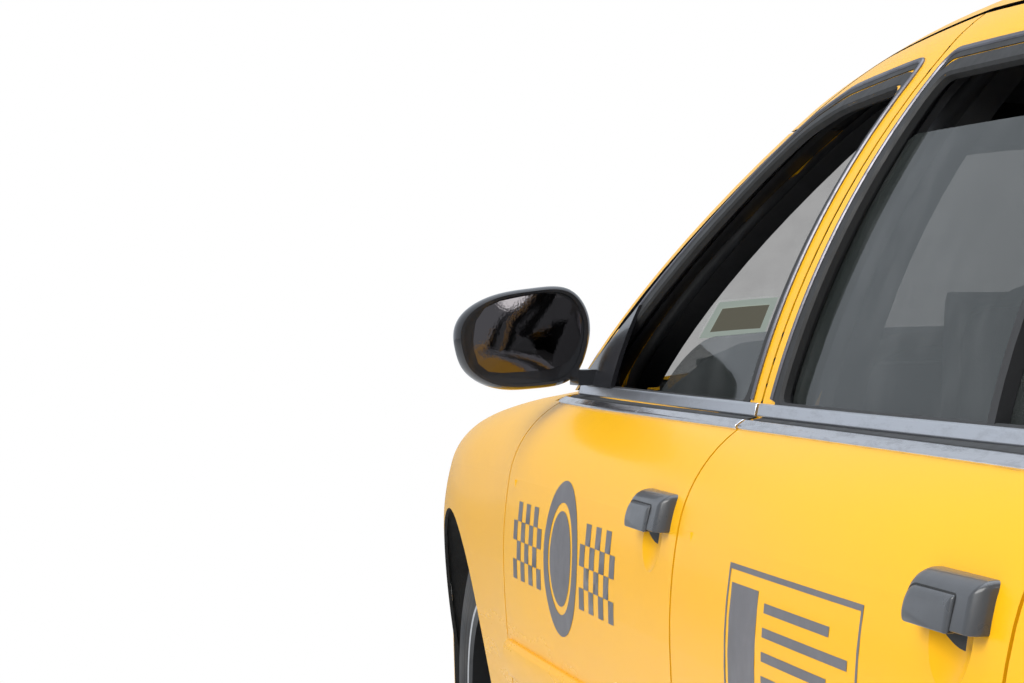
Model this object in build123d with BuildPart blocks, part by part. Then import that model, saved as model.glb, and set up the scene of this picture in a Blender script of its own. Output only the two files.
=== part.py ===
"""Four-door taxi sedan on a separate frame, in millimetres.

X points forward, Y to the left, Z up. The origin is on the floor, in the middle of the car's length
and width. The body is one smooth outer form, split along the real shut lines into doors, fenders, hood,
boot lid, roof and sides; every wall is that form less the same form set further in.
"""
from build123d import *
from math import cos, radians, sin
import os

os.makedirs("parts", exist_ok=True)


# Overall sizes and axles
overall_length = 5385
front_overhang = 1082.5
wheelbase = 2913
front_track = 1610
rear_track = 1666
front_axle_x = overall_length / 2 - front_overhang
rear_axle_x = front_axle_x - wheelbase
front_wheel_y = front_track / 2
rear_wheel_y = rear_track / 2

# Tyres and rims
tyre_radius = 338
tyre_width = 225
rim_radius = 203
rim_flange = 13
rim_width = 190
rim_wall = 6
rim_offset = 42
rim_disc = 8
hub_bolt_circle = 114.3
hub_hole = 70
rim_slots = 10
rim_slot_radius = 150

# Body form
body_half_width = 990
widest_z = 675
sill_z = 250
sill_tuck = 50
belt_z = 940
belt_half = 862
shoulder_z = 815
roof_z = 1478
roof_half = 650
rail_rise = 103
rail_inset = 152
crown_rise = 28
nose_x = 2590
tail_x = -2560

# Shut lines
door_gap = 7
body_gap = 6
fender_line_x = front_axle_x - 604
middle_line_x = fender_line_x - 1069
door_bottom_z = 332
door_top_z = roof_z - 63

# Wall thicknesses
door_thickness = 130
door_frame = 38
door_skin = 8
fender_skin = 6
quarter_skin = 20
rear_pillar = 45
side_depth = 150
post_inset = 85
upper_inset = 72
upper_depth = 110
roof_thickness = 30
hood_thickness = 22
glass_inset = 14
glass_thickness = 5
screen_thickness = 6

# Wheel openings
arch_radius = 385
house_radius = 405
house_wall = 8

# Door hinges
hinge_setback = 60
hinge_inboard = 19
hinge_pin = 7
hinge_play = 0.3
hinge_heights = (500, 760)
knuckle_height = 36

# Windscreen and rear window, each a sloping cylinder through a foot and a head in the middle plane
screen_foot = (1270, 985)
screen_head = (440, 1440)
screen_radius = 2700
backlight_foot = (-1500, 1085)
backlight_head = (-930, 1425)
backlight_radius = 3500

# Body stations from nose to tail:
# x, half width and height at the sill, at the widest line, at the shoulder, at the belt, crown height
BODY_STATIONS = (
    (nose_x, 640, 420, 700, 640, 680, 700, 600, 735, 752),
    (front_axle_x + 790, 800, 360, 835, 650, 812, 735, 715, 792, 838),
    (front_axle_x + 514, 860, 300, 896, 660, 870, 775, 770, 840, 905),
    (front_axle_x + 147, 915, sill_z, 958, 668, 940, 800, 825, 886, 958),
    (front_axle_x - 210, 935, sill_z, 982, 672, 966, 810, 848, 922, 990),
    (fender_line_x, body_half_width - sill_tuck, sill_z, 988, widest_z, 974, shoulder_z, belt_half, belt_z, 1010),
    (middle_line_x, body_half_width - sill_tuck, sill_z, body_half_width, widest_z, 975, shoulder_z,
     belt_half + 18, belt_z, 1020),
    (rear_axle_x + 210, body_half_width - sill_tuck, sill_z, 988, widest_z, 973, shoulder_z,
     belt_half + 14, belt_z + 6, 1060),
    (rear_axle_x - 400, 925, sill_z + 10, 974, 680, 958, 825, belt_half - 10, belt_z + 26, 1078),
    (rear_axle_x - 850, 900, sill_z + 50, 944, 690, 925, 835, 825, 966, 1066),
    (tail_x, 790, sill_z + 120, 840, 690, 815, 830, 720, 935, 1020),
)

# Greenhouse stations: x, half width at the belt, half width at the roof rail, crown height
ROOF_STATIONS = (
    (1450, 835, 560, 1300),
    (600, 866, 628, 1427),
    (-130, belt_half + 10, roof_half, roof_z),
    (-800, belt_half + 6, 640, 1447),
    (-1650, 835, 585, 1322),
)


def body_section(side, top, rise, drop, station):
    """Draw the left half of one body section: floor, two side arcs, a shoulder arc, a crowned top."""
    _, sill_y, sill, wide_y, wide, shoulder_y, shoulder, belt_y, belt, crown = station
    bottom = sill - drop
    peak = (belt_y - side, belt - top + rise)
    foot = (sill_y - side, sill)
    widest = (wide_y - side, wide)
    bend = (shoulder_y - side, shoulder)
    edge = (belt_y - side, belt - top)
    centre = (0, crown - top + rise)
    TangentArc(widest, foot, tangent=(0, -1))
    high = TangentArc(widest, bend, tangent=(0, 1))
    TangentArc(bend, edge, tangent=high % 1)
    if rise:
        Line(edge, peak)
    TangentArc(centre, peak, tangent=(1, 0))
    if drop:
        Line(foot, (foot[0], bottom))
    Polyline(centre, (0, bottom), (foot[0], bottom))


def body_form(side=0.0, top=0.0, rise=0.0, drop=0.0):
    """Left half of the lower body, set in at the side and the top, run on upward and downward."""
    with BuildPart() as form:
        for station in BODY_STATIONS:
            with BuildSketch(Plane.YZ.offset(station[0])):
                with BuildLine():
                    body_section(side, top, rise, drop, station)
                make_face()
        loft()
    return form.part


def roof_form(side=0.0, top=0.0, floor_z=belt_z - 40):
    """Left half of the greenhouse, set in at the side and lowered at the top."""
    with BuildPart() as form:
        for x, belt_y, rail_y, crown in ROOF_STATIONS:
            rail = (rail_y - side, crown - rail_rise - top)
            edge = (rail_y - rail_inset - side * 0.6, crown - crown_rise - top)
            foot = (belt_y - side + (belt_z + 10 - floor_z) * 0.2, floor_z)
            centre = (0, crown - top)
            with BuildSketch(Plane.YZ.offset(x)):
                with BuildLine():
                    wall = TangentArc(foot, rail, tangent=(-0.18, 1))
                    TangentArc(rail, edge, tangent=wall % 1)
                    TangentArc(centre, edge, tangent=(1, 0))
                    Polyline(centre, (0, floor_z), foot)
                make_face()
        loft()
    return form.part


def slope_cylinder(foot, head, radius):
    """Long solid cylinder whose top line runs through foot and head, in the car's middle plane."""
    run = Vector(head[0] - foot[0], 0, head[1] - foot[1]).normalized()
    outward = Vector(run.Z, 0, -run.X)
    if outward.Z < 0:
        outward = -outward
    centre = Vector(foot[0], 0, foot[1]) - outward * radius - run * 1500
    with BuildPart() as cylinder:
        with BuildSketch(Plane(origin=centre, x_dir=(0, 1, 0), z_dir=run)):
            Circle(radius)
        extrude(amount=4500)
    return cylinder.part


def joined(*solids):
    """One solid out of several that touch or overlap."""
    with BuildPart() as whole:
        for solid in solids:
            add(solid)
    return whole.part


def cut(solid, *tools):
    """The solid less each of the tools."""
    with BuildPart() as left:
        add(solid)
        for tool in tools:
            add(tool, mode=Mode.SUBTRACT)
    return left.part


def common(solid, *tools):
    """What the solid shares with each of the tools."""
    with BuildPart() as shared:
        add(solid)
        for tool in tools:
            add(tool, mode=Mode.INTERSECT)
    return shared.part


def box(x0, x1, y0, y1, z0, z1):
    """Plain box between two corners."""
    with BuildPart() as block:
        with BuildSketch(Plane.XY.offset(z0)):
            with Locations(((x0 + x1) / 2, (y0 + y1) / 2)):
                Rectangle(x1 - x0, y1 - y0)
        extrude(amount=z1 - z0)
    return block.part


def side_prism(outline, inner=250, outer=1300):
    """Solid cut from a side-view outline, on the left side of the car."""
    with BuildPart() as prism:
        with BuildSketch(Plane.XZ.offset(-outer)):
            add(outline)
        extrude(amount=outer - inner)
    return prism.part


def plan_prism(outline, low=200, high=1600):
    """Solid cut from a plan outline."""
    with BuildPart() as prism:
        with BuildSketch(Plane.XY.offset(low)):
            add(outline)
        extrude(amount=high - low)
    return prism.part


def grown(outline, amount):
    """The outline moved outward, or inward when the amount is negative."""
    with BuildSketch() as moved:
        add(outline)
        offset(amount=amount, kind=Kind.INTERSECTION)
    return moved.sketch


def less(outline, *others):
    """The outline less the others."""
    with BuildSketch() as rest:
        add(outline)
        for other in others:
            add(other, mode=Mode.SUBTRACT)
    return rest.sketch


def window_pane(x0, x1, z0, z1):
    """Rectangle in side view, as a sketch."""
    with BuildSketch() as pane:
        with Locations(((x0 + x1) / 2, (z0 + z1) / 2)):
            Rectangle(x1 - x0, z1 - z0)
    return pane.sketch


def right_copy(solid):
    """The same piece on the right side of the car."""
    with BuildPart() as copy:
        mirror(solid, about=Plane.XZ)
    return copy.part


def whole(half):
    """A half piece joined with its mirror image."""
    return joined(half, right_copy(half))


def write(solid, name):
    """Label a finished piece and write its file."""
    solid.label = name
    export_step(solid, f"parts/{name}.step")


# Side-view outlines, X to the right and Z up, at the middle of each shut line
middle_top = (middle_line_x - 93, door_top_z)
pillar_foot = (fender_line_x + 16, belt_z + 8)
pillar_head = (432, 1318)
rear_pillar_head = (-850, 1330)
rear_pillar_foot = (rear_axle_x + 175, belt_z + 20)


def front_door_outline():
    """Front door, sill to roof side."""
    with BuildSketch() as outline:
        with BuildLine():
            Polyline((middle_line_x, belt_z), (middle_line_x, door_bottom_z), (fender_line_x, door_bottom_z),
                     (fender_line_x, shoulder_z - 15), pillar_foot)
            slope = Line(pillar_foot, pillar_head)
            bend = TangentArc(pillar_head, (200, door_top_z - 16), tangent=slope % 1)
            Polyline(bend @ 1, middle_top, (middle_line_x, belt_z))
        make_face()
        fillet(outline.vertices().group_by(Axis.Y)[0], 30)
    return outline.sketch


def rear_door_outline():
    """Rear door, with its edge bent round the wheel opening."""
    reach = arch_radius + 55
    bend_start = (rear_axle_x + reach * cos(radians(62)), tyre_radius + reach * sin(radians(62)))
    bend_middle = (rear_axle_x + reach * cos(radians(31)), tyre_radius + reach * sin(radians(31)))
    bend_end = (rear_axle_x + reach, tyre_radius)
    with BuildSketch() as outline:
        with BuildLine():
            Polyline((bend_end[0], tyre_radius), (bend_end[0], door_bottom_z), (middle_line_x, door_bottom_z),
                     (middle_line_x, belt_z), middle_top, (-560, door_top_z - 14))
            bend = TangentArc((-560, door_top_z - 14), rear_pillar_head, tangent=(-1, -0.03))
            Polyline(bend @ 1, rear_pillar_foot, bend_start)
            ThreePointArc(bend_start, bend_middle, bend_end)
        make_face()
        fillet(outline.vertices().group_by(Axis.Y)[0].sort_by(Axis.X)[-1], 30)
    return outline.sketch


def front_window_outline():
    """Clear opening of the front door's window."""
    with BuildSketch() as outline:
        with BuildLine():
            sill = belt_z + 16
            Polyline((412, 1270), (916, sill), (middle_line_x + 60, sill), (middle_line_x - 14, 1338))
            TangentArc((412, 1270), (200, 1330), tangent=(-0.846, 0.533))
            Line((200, 1330), (middle_line_x - 14, 1338))
        make_face()
        fillet(outline.vertices().sort_by(Axis.X)[-1], 14)
        fillet(outline.vertices().group_by(Axis.Y)[0].sort_by(Axis.X)[0], 14)
        fillet(outline.vertices().group_by(Axis.Y)[-1], 30)
    return outline.sketch


def rear_window_outline():
    """Clear opening of the rear door's window, fixed corner pane included."""
    with BuildSketch() as outline:
        with BuildLine():
            sill = belt_z + 18
            Polyline((middle_line_x - 142, 1336), (middle_line_x - 72, sill), (rear_pillar_foot[0] + 66, sill),
                     (-838, 1296))
            Polyline((-838, 1296), (-640, 1330), (middle_line_x - 142, 1336))
        make_face()
        fillet(outline.vertices().group_by(Axis.Y)[0], 14)
        fillet(outline.vertices().group_by(Axis.Y)[-1].sort_by(Axis.X)[-1], 34)
    return outline.sketch


def wheel_circle(x, radius):
    """Circle about an axle, in side view."""
    with BuildSketch() as circle:
        with Locations((x, tyre_radius)):
            Circle(radius)
    return circle.sketch


def hood_outline(margin=0.0):
    """Hood in plan."""
    with BuildSketch() as outline:
        with BuildLine():
            rear = ThreePointArc((1290 - margin, 786 + margin), (1330 - margin, 0), (1290 - margin, -786 - margin))
            Polyline(rear @ 1, (nose_x - 60 + margin, -610 - margin), (nose_x - 60 + margin, 610 + margin),
                     rear @ 0)
        make_face()
    return outline.sketch


# The outer form and the same form set in
screen_cylinder = slope_cylinder(screen_foot, screen_head, screen_radius)
backlight_cylinder = slope_cylinder(backlight_foot, backlight_head, backlight_radius)
outer_body = body_form()
outer_roof = common(roof_form(), screen_cylinder, backlight_cylinder)
outer = joined(outer_body, outer_roof)
ledge = 6


def inner_form(lower, upper):
    """The whole form set in by one depth below the belt and another above it, open at top and bottom."""
    return joined(body_form(side=lower, rise=ledge, drop=150), roof_form(side=upper, floor_z=belt_z + ledge))


skin_form = inner_form(door_skin, door_skin)
door_form = inner_form(door_thickness, door_frame)
post_form = inner_form(post_inset, upper_inset)
side_form = inner_form(side_depth, upper_depth)
middle_block = box(-1165, 1120, -10, 1100, 100, 1600)
outer_middle = common(outer, middle_block)
skin_form = common(skin_form, middle_block)
door_form = common(door_form, middle_block)
post_form = common(post_form, middle_block)
side_form = common(side_form, middle_block)

# Outlines shared by doors, sides, roof and glass
front_outline = front_door_outline()
rear_outline = rear_door_outline()
front_window = front_window_outline()
rear_window = rear_window_outline()
front_hinge_x = fender_line_x - door_gap / 2 - hinge_setback
rear_hinge_x = middle_line_x - door_gap / 2 - hinge_setback
hinge_y = body_half_width - hinge_inboard
post_clear = 25
box_inset = 18


def door_box(outline, hinge_x):
    """Side view of a door's thick inner part: the door less its flange and its hinge pocket."""
    pocket = window_pane(hinge_x - post_clear, hinge_x + 200, 0, belt_z + 20)
    return less(grown(outline, -box_inset - door_gap / 2), pocket)


def door_aperture(outline, hinge_x):
    """Side view of the hole in the body side that a door closes."""
    low = less(grown(outline, -box_inset + 3), window_pane(hinge_x - post_clear + 5, hinge_x + 200, 0, belt_z))
    with BuildSketch() as hole:
        add(low)
        add(window_pane(-3000, 3000, belt_z + 12, 2000), mode=Mode.SUBTRACT)
    upper = less(grown(outline, -55), window_pane(-3000, 3000, 0, belt_z - 1))
    with BuildSketch() as whole:
        add(hole.sketch)
        add(upper)
    return whole.sketch


def shell_door(outline, hinge_x):
    """Door as one piece: a thick box, a thin flange to the shut line and a frame above the belt."""
    slab = cut(common(outer_middle, side_prism(grown(outline, -door_gap / 2))), door_form)
    behind_skin = cut(skin_form, side_prism(door_box(outline, hinge_x)))
    return cut(slab, behind_skin)


def glass_layer(low, high, outline):
    """Curved sheet between two depths of the greenhouse, cut to a side-view outline."""
    floor = belt_z - 60
    sheet = common(roof_form(side=low, floor_z=floor), side_prism(outline))
    return cut(sheet, roof_form(side=high, floor_z=floor))


def lowered(outline, drop):
    """A pane's outline let down along the middle post, cut off inside the door."""
    with BuildSketch() as moved:
        with Locations((drop * 0.1937, -drop)):
            add(outline)
        add(window_pane(-3000, 3000, 0, belt_z - 45), mode=Mode.SUBTRACT)
    return moved.sketch


def pane_outline(window, depth=12):
    """Window opening grown into its channel and run on below the belt."""
    with BuildSketch() as pane:
        add(grown(window, depth))
        low = window.bounding_box()
        add(window_pane(low.min.X - depth, low.max.X + depth, belt_z - 45, belt_z + 18))
    return pane.sketch


def hinge_bosses(hinge_x):
    """Door halves of both hinges, above and below the pillar's barrels."""
    reach = hinge_y + 8
    with BuildPart() as bosses:
        for height in hinge_heights:
            for low in (height + knuckle_height / 2 + hinge_play, height - knuckle_height * 1.5 - hinge_play):
                with BuildSketch(Plane.XY.offset(low)):
                    with Locations((hinge_x, hinge_y)):
                        Circle(hinge_pin)
                    with Locations((hinge_x - 12, hinge_y)):
                        Rectangle(34, 8)
                extrude(amount=knuckle_height)
    return bosses.part


def hinge_barrels(hinge_x):
    """Pillar halves of both hinges: a leaf standing out to a barrel."""
    with BuildPart() as barrels:
        for height in hinge_heights:
            with BuildSketch(Plane.XY.offset(height - knuckle_height / 2)):
                with Locations((hinge_x, hinge_y)):
                    Circle(hinge_pin)
                with Locations((hinge_x, hinge_y - 54)):
                    Rectangle(8, 108)
            extrude(amount=knuckle_height)
    return barrels.part


def barrel_room(hinge_x):
    """Room in the door skin round the pillar's barrels."""
    with BuildPart() as room:
        for height in hinge_heights:
            with BuildSketch(Plane.XY.offset(height - knuckle_height / 2 - hinge_play)):
                with Locations((hinge_x, hinge_y)):
                    Circle(hinge_pin + 1)
                with Locations((hinge_x + 7, hinge_y - 2.75)):
                    Rectangle(14, 10.5)
            extrude(amount=knuckle_height + 2 * hinge_play)
    return room.part


handle_length = 160
handle_height = 46
handle_stand = 20
front_handle = (middle_line_x + 118, 828)
rear_handle = (rear_pillar_foot[0] + 146, 824)
cup_radius = 90
cup_depth = 11


def cup_at(place):
    """Round recess under a handle, as a tool."""
    x, z = place
    with BuildPart() as cup:
        with Locations((x, body_half_width - 16 - cup_depth + cup_radius, z - 18)):
            Sphere(cup_radius)
    return cup.part


pane_play = 0.5


def door_glass_room(window):
    """Channel that a door's glass stands in."""
    return glass_layer(glass_inset - pane_play, glass_inset + glass_thickness + pane_play,
                       pane_outline(window, 13))


front_door = cut(shell_door(front_outline, front_hinge_x), side_prism(front_window),
                 door_glass_room(front_window), barrel_room(front_hinge_x), cup_at(front_handle))
front_door = joined(front_door, hinge_bosses(front_hinge_x))
division_x = -792
division_bar = window_pane(division_x - 9, division_x + 9, 0, 2000)
rear_door = cut(shell_door(rear_outline, rear_hinge_x), side_prism(less(rear_window, division_bar)),
                door_glass_room(rear_window), barrel_room(rear_hinge_x), cup_at(rear_handle))
rear_door = joined(rear_door, hinge_bosses(rear_hinge_x))

glass_in = glass_inset + glass_thickness
front_pane = pane_outline(front_window)
rear_pane = less(pane_outline(rear_window), division_bar)
front_drop = 305
rear_drop = 80
left_front_glass = glass_layer(glass_inset, glass_in, lowered(front_pane, front_drop))
right_front_glass = glass_layer(glass_inset, glass_in, front_pane)
rear_glass = glass_layer(glass_inset, glass_in, rear_pane)
drop_zone = side_prism(less(window_pane(division_x + 9, 400, belt_z - 45, 2000),
                            lowered(pane_outline(rear_window), rear_drop)))
left_rear_glass = cut(rear_glass, drop_zone)

# Body side: sill, posts, roof rail, rear pillar and quarter panel in one
side_front_x = 1110
quarter_x = rear_axle_x + 165
lid_front_x = backlight_foot[0] - 100
lid_front_gap = 9
lid_half = 662
lid_low_z = 640
lid_thickness = 25
lamp_low_z, lamp_high_z = 690, 857
lamp_front_x = tail_x + 150
bumper_top_z = 610
rear_house_out = 955
rear_bumper_x = tail_x + 330


def roof_zone(margin):
    """Side view of everything above the doors' top line, moved up by a margin."""
    rear = (rear_pillar_head[0], rear_pillar_head[1] + margin)
    flat = (-560, door_top_z - 14 + margin)
    crest = (middle_top[0], door_top_z + margin)
    front = (200, door_top_z - 16 + margin)
    low = (pillar_head[0], pillar_head[1] + margin)
    rise = (pillar_head[0] - pillar_foot[0], pillar_head[1] - pillar_foot[1])
    with BuildSketch() as zone:
        with BuildLine():
            TangentArc(low, front, tangent=rise)
            Polyline(front, crest, flat)
            TangentArc(flat, rear, tangent=(-1, -0.03))
            Polyline(rear, (rear[0] - 400, rear[1] + 30), (rear[0] - 400, 1700), (low[0] + 400, 1700),
                     (low[0] + 400, low[1]), low)
        make_face()
    return zone.sketch


def glass_prism(foot, head, foot_half, head_half, margin=0.0):
    """Windscreen or rear window outline on its own sloping plane, as a thick block."""
    along = Vector(head[0] - foot[0], 0, head[1] - foot[1])
    length = along.length
    across = Vector(0, 1, 0)
    normal = across.cross(along.normalized())
    if normal.Z < 0:
        across = -across
        normal = -normal
    plane = Plane(origin=(foot[0], 0, foot[1]), x_dir=across, z_dir=normal)
    top = length - 15 - margin
    with BuildPart() as prism:
        with BuildSketch(plane.offset(60)) as pane:
            with BuildLine():
                Polyline((-foot_half, -95), (foot_half, -95), (head_half, top), (-head_half, top), close=True)
            make_face()
            fillet(pane.vertices().group_by(Axis.Y)[-1], 60)
        extrude(amount=-260)
    return prism.part


screen_foot_half = 825
screen_head_half = 588
backlight_foot_half = 745
backlight_head_half = 560
seat_rim = 16
screen_hole = glass_prism(screen_foot, screen_head, screen_foot_half - seat_rim, screen_head_half - seat_rim,
                          seat_rim)
backlight_hole = common(glass_prism(backlight_foot, backlight_head, backlight_foot_half - seat_rim,
                                    backlight_head_half - seat_rim, seat_rim), backlight_cylinder)
cowl_drop = 45
cowl_sheet = 18
under_cowl = body_form(side=-4, top=cowl_drop + 12)
under_deck = body_form(side=-4, top=12)


def sheet_glass(foot, head, radius, foot_half, head_half, buried):
    """Windscreen or rear window: the sloping cylinder's skin within its outline, left half."""
    inner = slope_cylinder((foot[0], foot[1]), (head[0], head[1]), radius)
    whole = common(outer_roof, glass_prism(foot, head, foot_half, head_half))
    run = Vector(head[0] - foot[0], 0, head[1] - foot[1]).normalized()
    normal = Vector(abs(run.Z) * (1 if radius == screen_radius else -1), 0, abs(run.X))
    with BuildPart() as deeper:
        with Locations(Location(-normal * screen_thickness)):
            add(inner)
    return cut(whole, deeper.part, buried)


windscreen_half = sheet_glass(screen_foot, screen_head, screen_radius, screen_foot_half, screen_head_half,
                              under_cowl)
backlight_half = sheet_glass(backlight_foot, backlight_head, backlight_radius, backlight_foot_half,
                             backlight_head_half, under_deck)

front_hole = cut(side_prism(grown(front_outline, door_gap / 2)), post_form)
rear_hole = cut(side_prism(grown(rear_outline, door_gap / 2)), post_form)
fender_hole = cut(side_prism(window_pane(fender_line_x - 1, 1300, 0, belt_z + 8)), post_form)
roof_block = side_prism(roof_zone(0), inner=-10)
rear_wheel_hole = side_prism(wheel_circle(rear_axle_x, arch_radius), inner=400)
tail_block = box(tail_x - 10, lid_front_x + lid_front_gap, -10, lid_half + body_gap, lid_low_z, 1300)
lamp_block = box(tail_x - 10, lamp_front_x, lid_half, 1000, lamp_low_z, lamp_high_z)
bumper_block = box(tail_x - 10, rear_bumper_x + 3, -10, 1100, 0, bumper_top_z + 3)

side_front = cut(common(outer_middle, box(quarter_x, side_front_x, -10, 1100, 200, 1500)), side_form, front_hole,
                 rear_hole, fender_hole, roof_block, screen_hole, windscreen_half, backlight_half,
                 side_prism(door_aperture(front_outline, front_hinge_x)),
                 side_prism(door_aperture(rear_outline, rear_hinge_x)), rear_wheel_hole,
                 side_prism(wheel_circle(rear_axle_x, house_radius + house_wall), inner=400, outer=rear_house_out))
side_rear = cut(common(outer, box(tail_x, quarter_x, -10, 1100, 200, 1500)),
                body_form(side=quarter_skin, top=quarter_skin, drop=150),
                roof_form(side=rear_pillar, top=rear_pillar), rear_hole, roof_block, backlight_hole,
                backlight_half, rear_wheel_hole, tail_block, lamp_block, bumper_block,
                side_prism(door_aperture(rear_outline, rear_hinge_x)))
tail_plate = common(outer_body, joined(
    cut(box(tail_x, tail_x + 10, lid_half + body_gap, 1000, bumper_top_z + 3, 1300), lamp_block),
    box(tail_x, tail_x + 10, 0, lid_half + body_gap, bumper_top_z + 3, lid_low_z),
))
side_left = joined(side_front, side_rear, tail_plate, hinge_barrels(front_hinge_x), hinge_barrels(rear_hinge_x))

roof_half_panel = cut(common(outer_roof, side_prism(roof_zone(body_gap / 2), inner=-10)),
                      roof_form(side=roof_thickness, top=roof_thickness), screen_hole, backlight_hole,
                      windscreen_half, backlight_half)

# Levels and frame rails that several pieces share
floor_sheet = 20
cowl_shelf_z = 918
rail_front_x = nose_x - 100
rail_rear_x = tail_x + 120
rail_narrow, rail_wide = 470, 655


def biggest(solid):
    """The largest of a part's solids, without the slivers beside it."""
    return solid.solids().sort_by(SortBy.VOLUME)[-1]


# Front end: hood, fenders, cowl, nose panel, lamps and grille
hood_front_x = nose_x - 60
hood_margin = body_gap / 2
header_x = nose_x - 130
lamp_low, lamp_high = 600, 706
lamp_in, lamp_back = 330, nose_x - 250
grille_half = 310
bumper_split_z = 590
arch_front_x = front_axle_x + arch_radius + 15
hood_form = body_form(side=-4, top=hood_thickness)
fender_form = body_form(side=fender_skin, top=fender_skin, drop=150)
hood_half = cut(common(outer_body, plan_prism(hood_outline(-hood_margin))), hood_form)
front_wheel_hole = side_prism(wheel_circle(front_axle_x, arch_radius), inner=300)
lamp_room = box(lamp_back, nose_x + 20, lamp_in, 1000, lamp_low, lamp_high)
front_bumper_room = box(arch_front_x - 20, nose_x + 200, -10, 1100, 0, bumper_split_z + 3)
pillar_room = box(900, pillar_foot[0] + 70, -10, 878, 0, 1300)
fender_left = cut(common(outer_body, box(fender_line_x + door_gap / 2, header_x, 300, 1100, 200, 1200)),
                  fender_form, plan_prism(hood_outline(hood_margin)), front_wheel_hole, lamp_room,
                  front_bumper_room, pillar_room, box(900, 1300, -10, 783, 0, 1300),
                  box(900, side_front_x + 2, -10, 796, 930, 1300),
                  side_prism(grown(front_outline, door_gap / 2)))
fender_left = biggest(fender_left)
cowl_half = cut(common(body_form(side=-4, top=cowl_drop), box(pillar_foot[0] - 20, 1340, -10, 780, 700, 1200)),
                body_form(side=-4, top=cowl_drop + cowl_sheet), plan_prism(hood_outline(hood_margin)), outer_roof,
                box(900, side_front_x + 2, 770, 900, 700, 1200))
nose_half = cut(common(outer_body, box(header_x, nose_x, -10, 1000, bumper_split_z, 900)),
                common(body_form(side=12, top=12, drop=150), box(0, nose_x - 14, -10, 1000, 0, 900)),
                plan_prism(hood_outline(hood_margin)), lamp_room,
                box(header_x - 10, nose_x + 10, -10, grille_half, lamp_low, lamp_high))
nose_half = joined(biggest(nose_half), box(header_x, header_x + 10, 0, lamp_in - 4, bumper_split_z, lamp_high - 10),
                   box(header_x, nose_x - 12, 0, lamp_in - 4, bumper_split_z, bumper_split_z + 10))
headlamp_left = cut(common(outer_body, box(lamp_back, nose_x, lamp_in, 1000, lamp_low, lamp_high)),
                    plan_prism(hood_outline(hood_margin)))
grille_bars = 9
with BuildPart() as grille:
    with BuildSketch(Plane.YZ.offset(nose_x - 34)):
        with Locations((0, (lamp_low + lamp_high) / 2)):
            Rectangle(2 * grille_half, lamp_high - lamp_low)
            Rectangle(2 * grille_half - 32, lamp_high - lamp_low - 32, mode=Mode.SUBTRACT)
            with GridLocations(2 * grille_half / grille_bars, 1, grille_bars - 1, 1):
                Rectangle(8, lamp_high - lamp_low - 20)
            Rectangle(2 * grille_half - 20, 8)
    extrude(amount=24)

# Hood hinges: a post with a barrel between two bosses under the hood's rear corner
hood_hinge = (1318, 944)
hood_hinge_y = 640
hood_barrel = 16
hood_boss = 12


def hood_pin(low_y, length, radius=hinge_pin):
    """Short cylinder on the hood's hinge line."""
    with BuildPart() as pin:
        with BuildSketch(Plane.XZ.offset(-(low_y + length))):
            with Locations(hood_hinge):
                Circle(radius)
        extrude(amount=length)
    return pin.part


hood_post = joined(hood_pin(hood_hinge_y - hood_barrel / 2, hood_barrel),
                   box(hood_hinge[0] - 6, hood_hinge[0] + 6, hood_hinge_y - hood_barrel / 2,
                       hood_hinge_y + hood_barrel / 2, cowl_shelf_z - floor_sheet, hood_hinge[1]),
                   box(1270, hood_hinge[0] + 6, hood_hinge_y - hood_barrel / 2, hood_hinge_y + hood_barrel / 2,
                       cowl_shelf_z - floor_sheet, cowl_shelf_z))
boss_low = hood_hinge_y - hood_barrel / 2 - hinge_play - hood_boss
boss_high = hood_hinge_y + hood_barrel / 2 + hinge_play
hood_half = joined(cut(hood_half, box(1280, 1340, hood_hinge_y - hood_barrel / 2 - hinge_play,
                                      hood_hinge_y + hood_barrel / 2 + hinge_play, 900,
                                      hood_hinge[1] + hinge_pin + 2)),
                   hood_pin(boss_low, hood_boss), hood_pin(boss_high, hood_boss))

# Rear end: boot lid and tail lamps
lid_zone = box(tail_x, lid_front_x, -10, lid_half, lid_low_z + 6, 1300)
lid_inner = common(body_form(side=-4, top=lid_thickness), box(tail_x + lid_thickness, 0, -20, 1000, 0, 1300))
lid_hem = common(body_form(side=-4, top=8), box(lid_front_x - 34, 0, -20, 1000, 0, 1300))
trunk_half = cut(common(outer_body, lid_zone), lid_inner, lid_hem)
lid_arm_y = 350
lid_arm_width = 20
lid_axis = (lid_front_x + 70, 1020)
arm_inner, arm_outer = 97, 125
with BuildSketch() as arm_outline:
    x, z = lid_axis
    with Locations((x, z)):
        Circle(arm_outer)
        Circle(arm_inner, mode=Mode.SUBTRACT)
    with BuildLine():
        Polyline((x, z), (x + 200, z - 160), (x + 200, z + 300), (x - 200, z + 300), (x - 200, z - 6), close=True)
    make_face(mode=Mode.SUBTRACT)
    with Locations((x, z)):
        Circle(12)
    with BuildLine():
        Polyline((x - 8, z), (x + 12, z), (x + 84, z - 66), (x + 64, z - 92), close=True)
    make_face()
    with Locations((x - 125, z + 20)):
        Rectangle(50, 64)
lid_arm = common(side_prism(arm_outline.sketch, lid_arm_y - lid_arm_width / 2, lid_arm_y + lid_arm_width / 2),
                 under_deck)
trunk_half = joined(trunk_half, lid_arm)
tail_lamp_left = common(outer_body, box(tail_x, lamp_front_x, lid_half + body_gap, 1000, lamp_low_z, lamp_high_z))


plate_spacing = 177.8
plate_hole_radius = 3.5


bumper_plan = ((0, 0), (0.062, 0.464), (0.225, 0.762), (0.536, 0.923))
bumper_flange = 70


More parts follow.
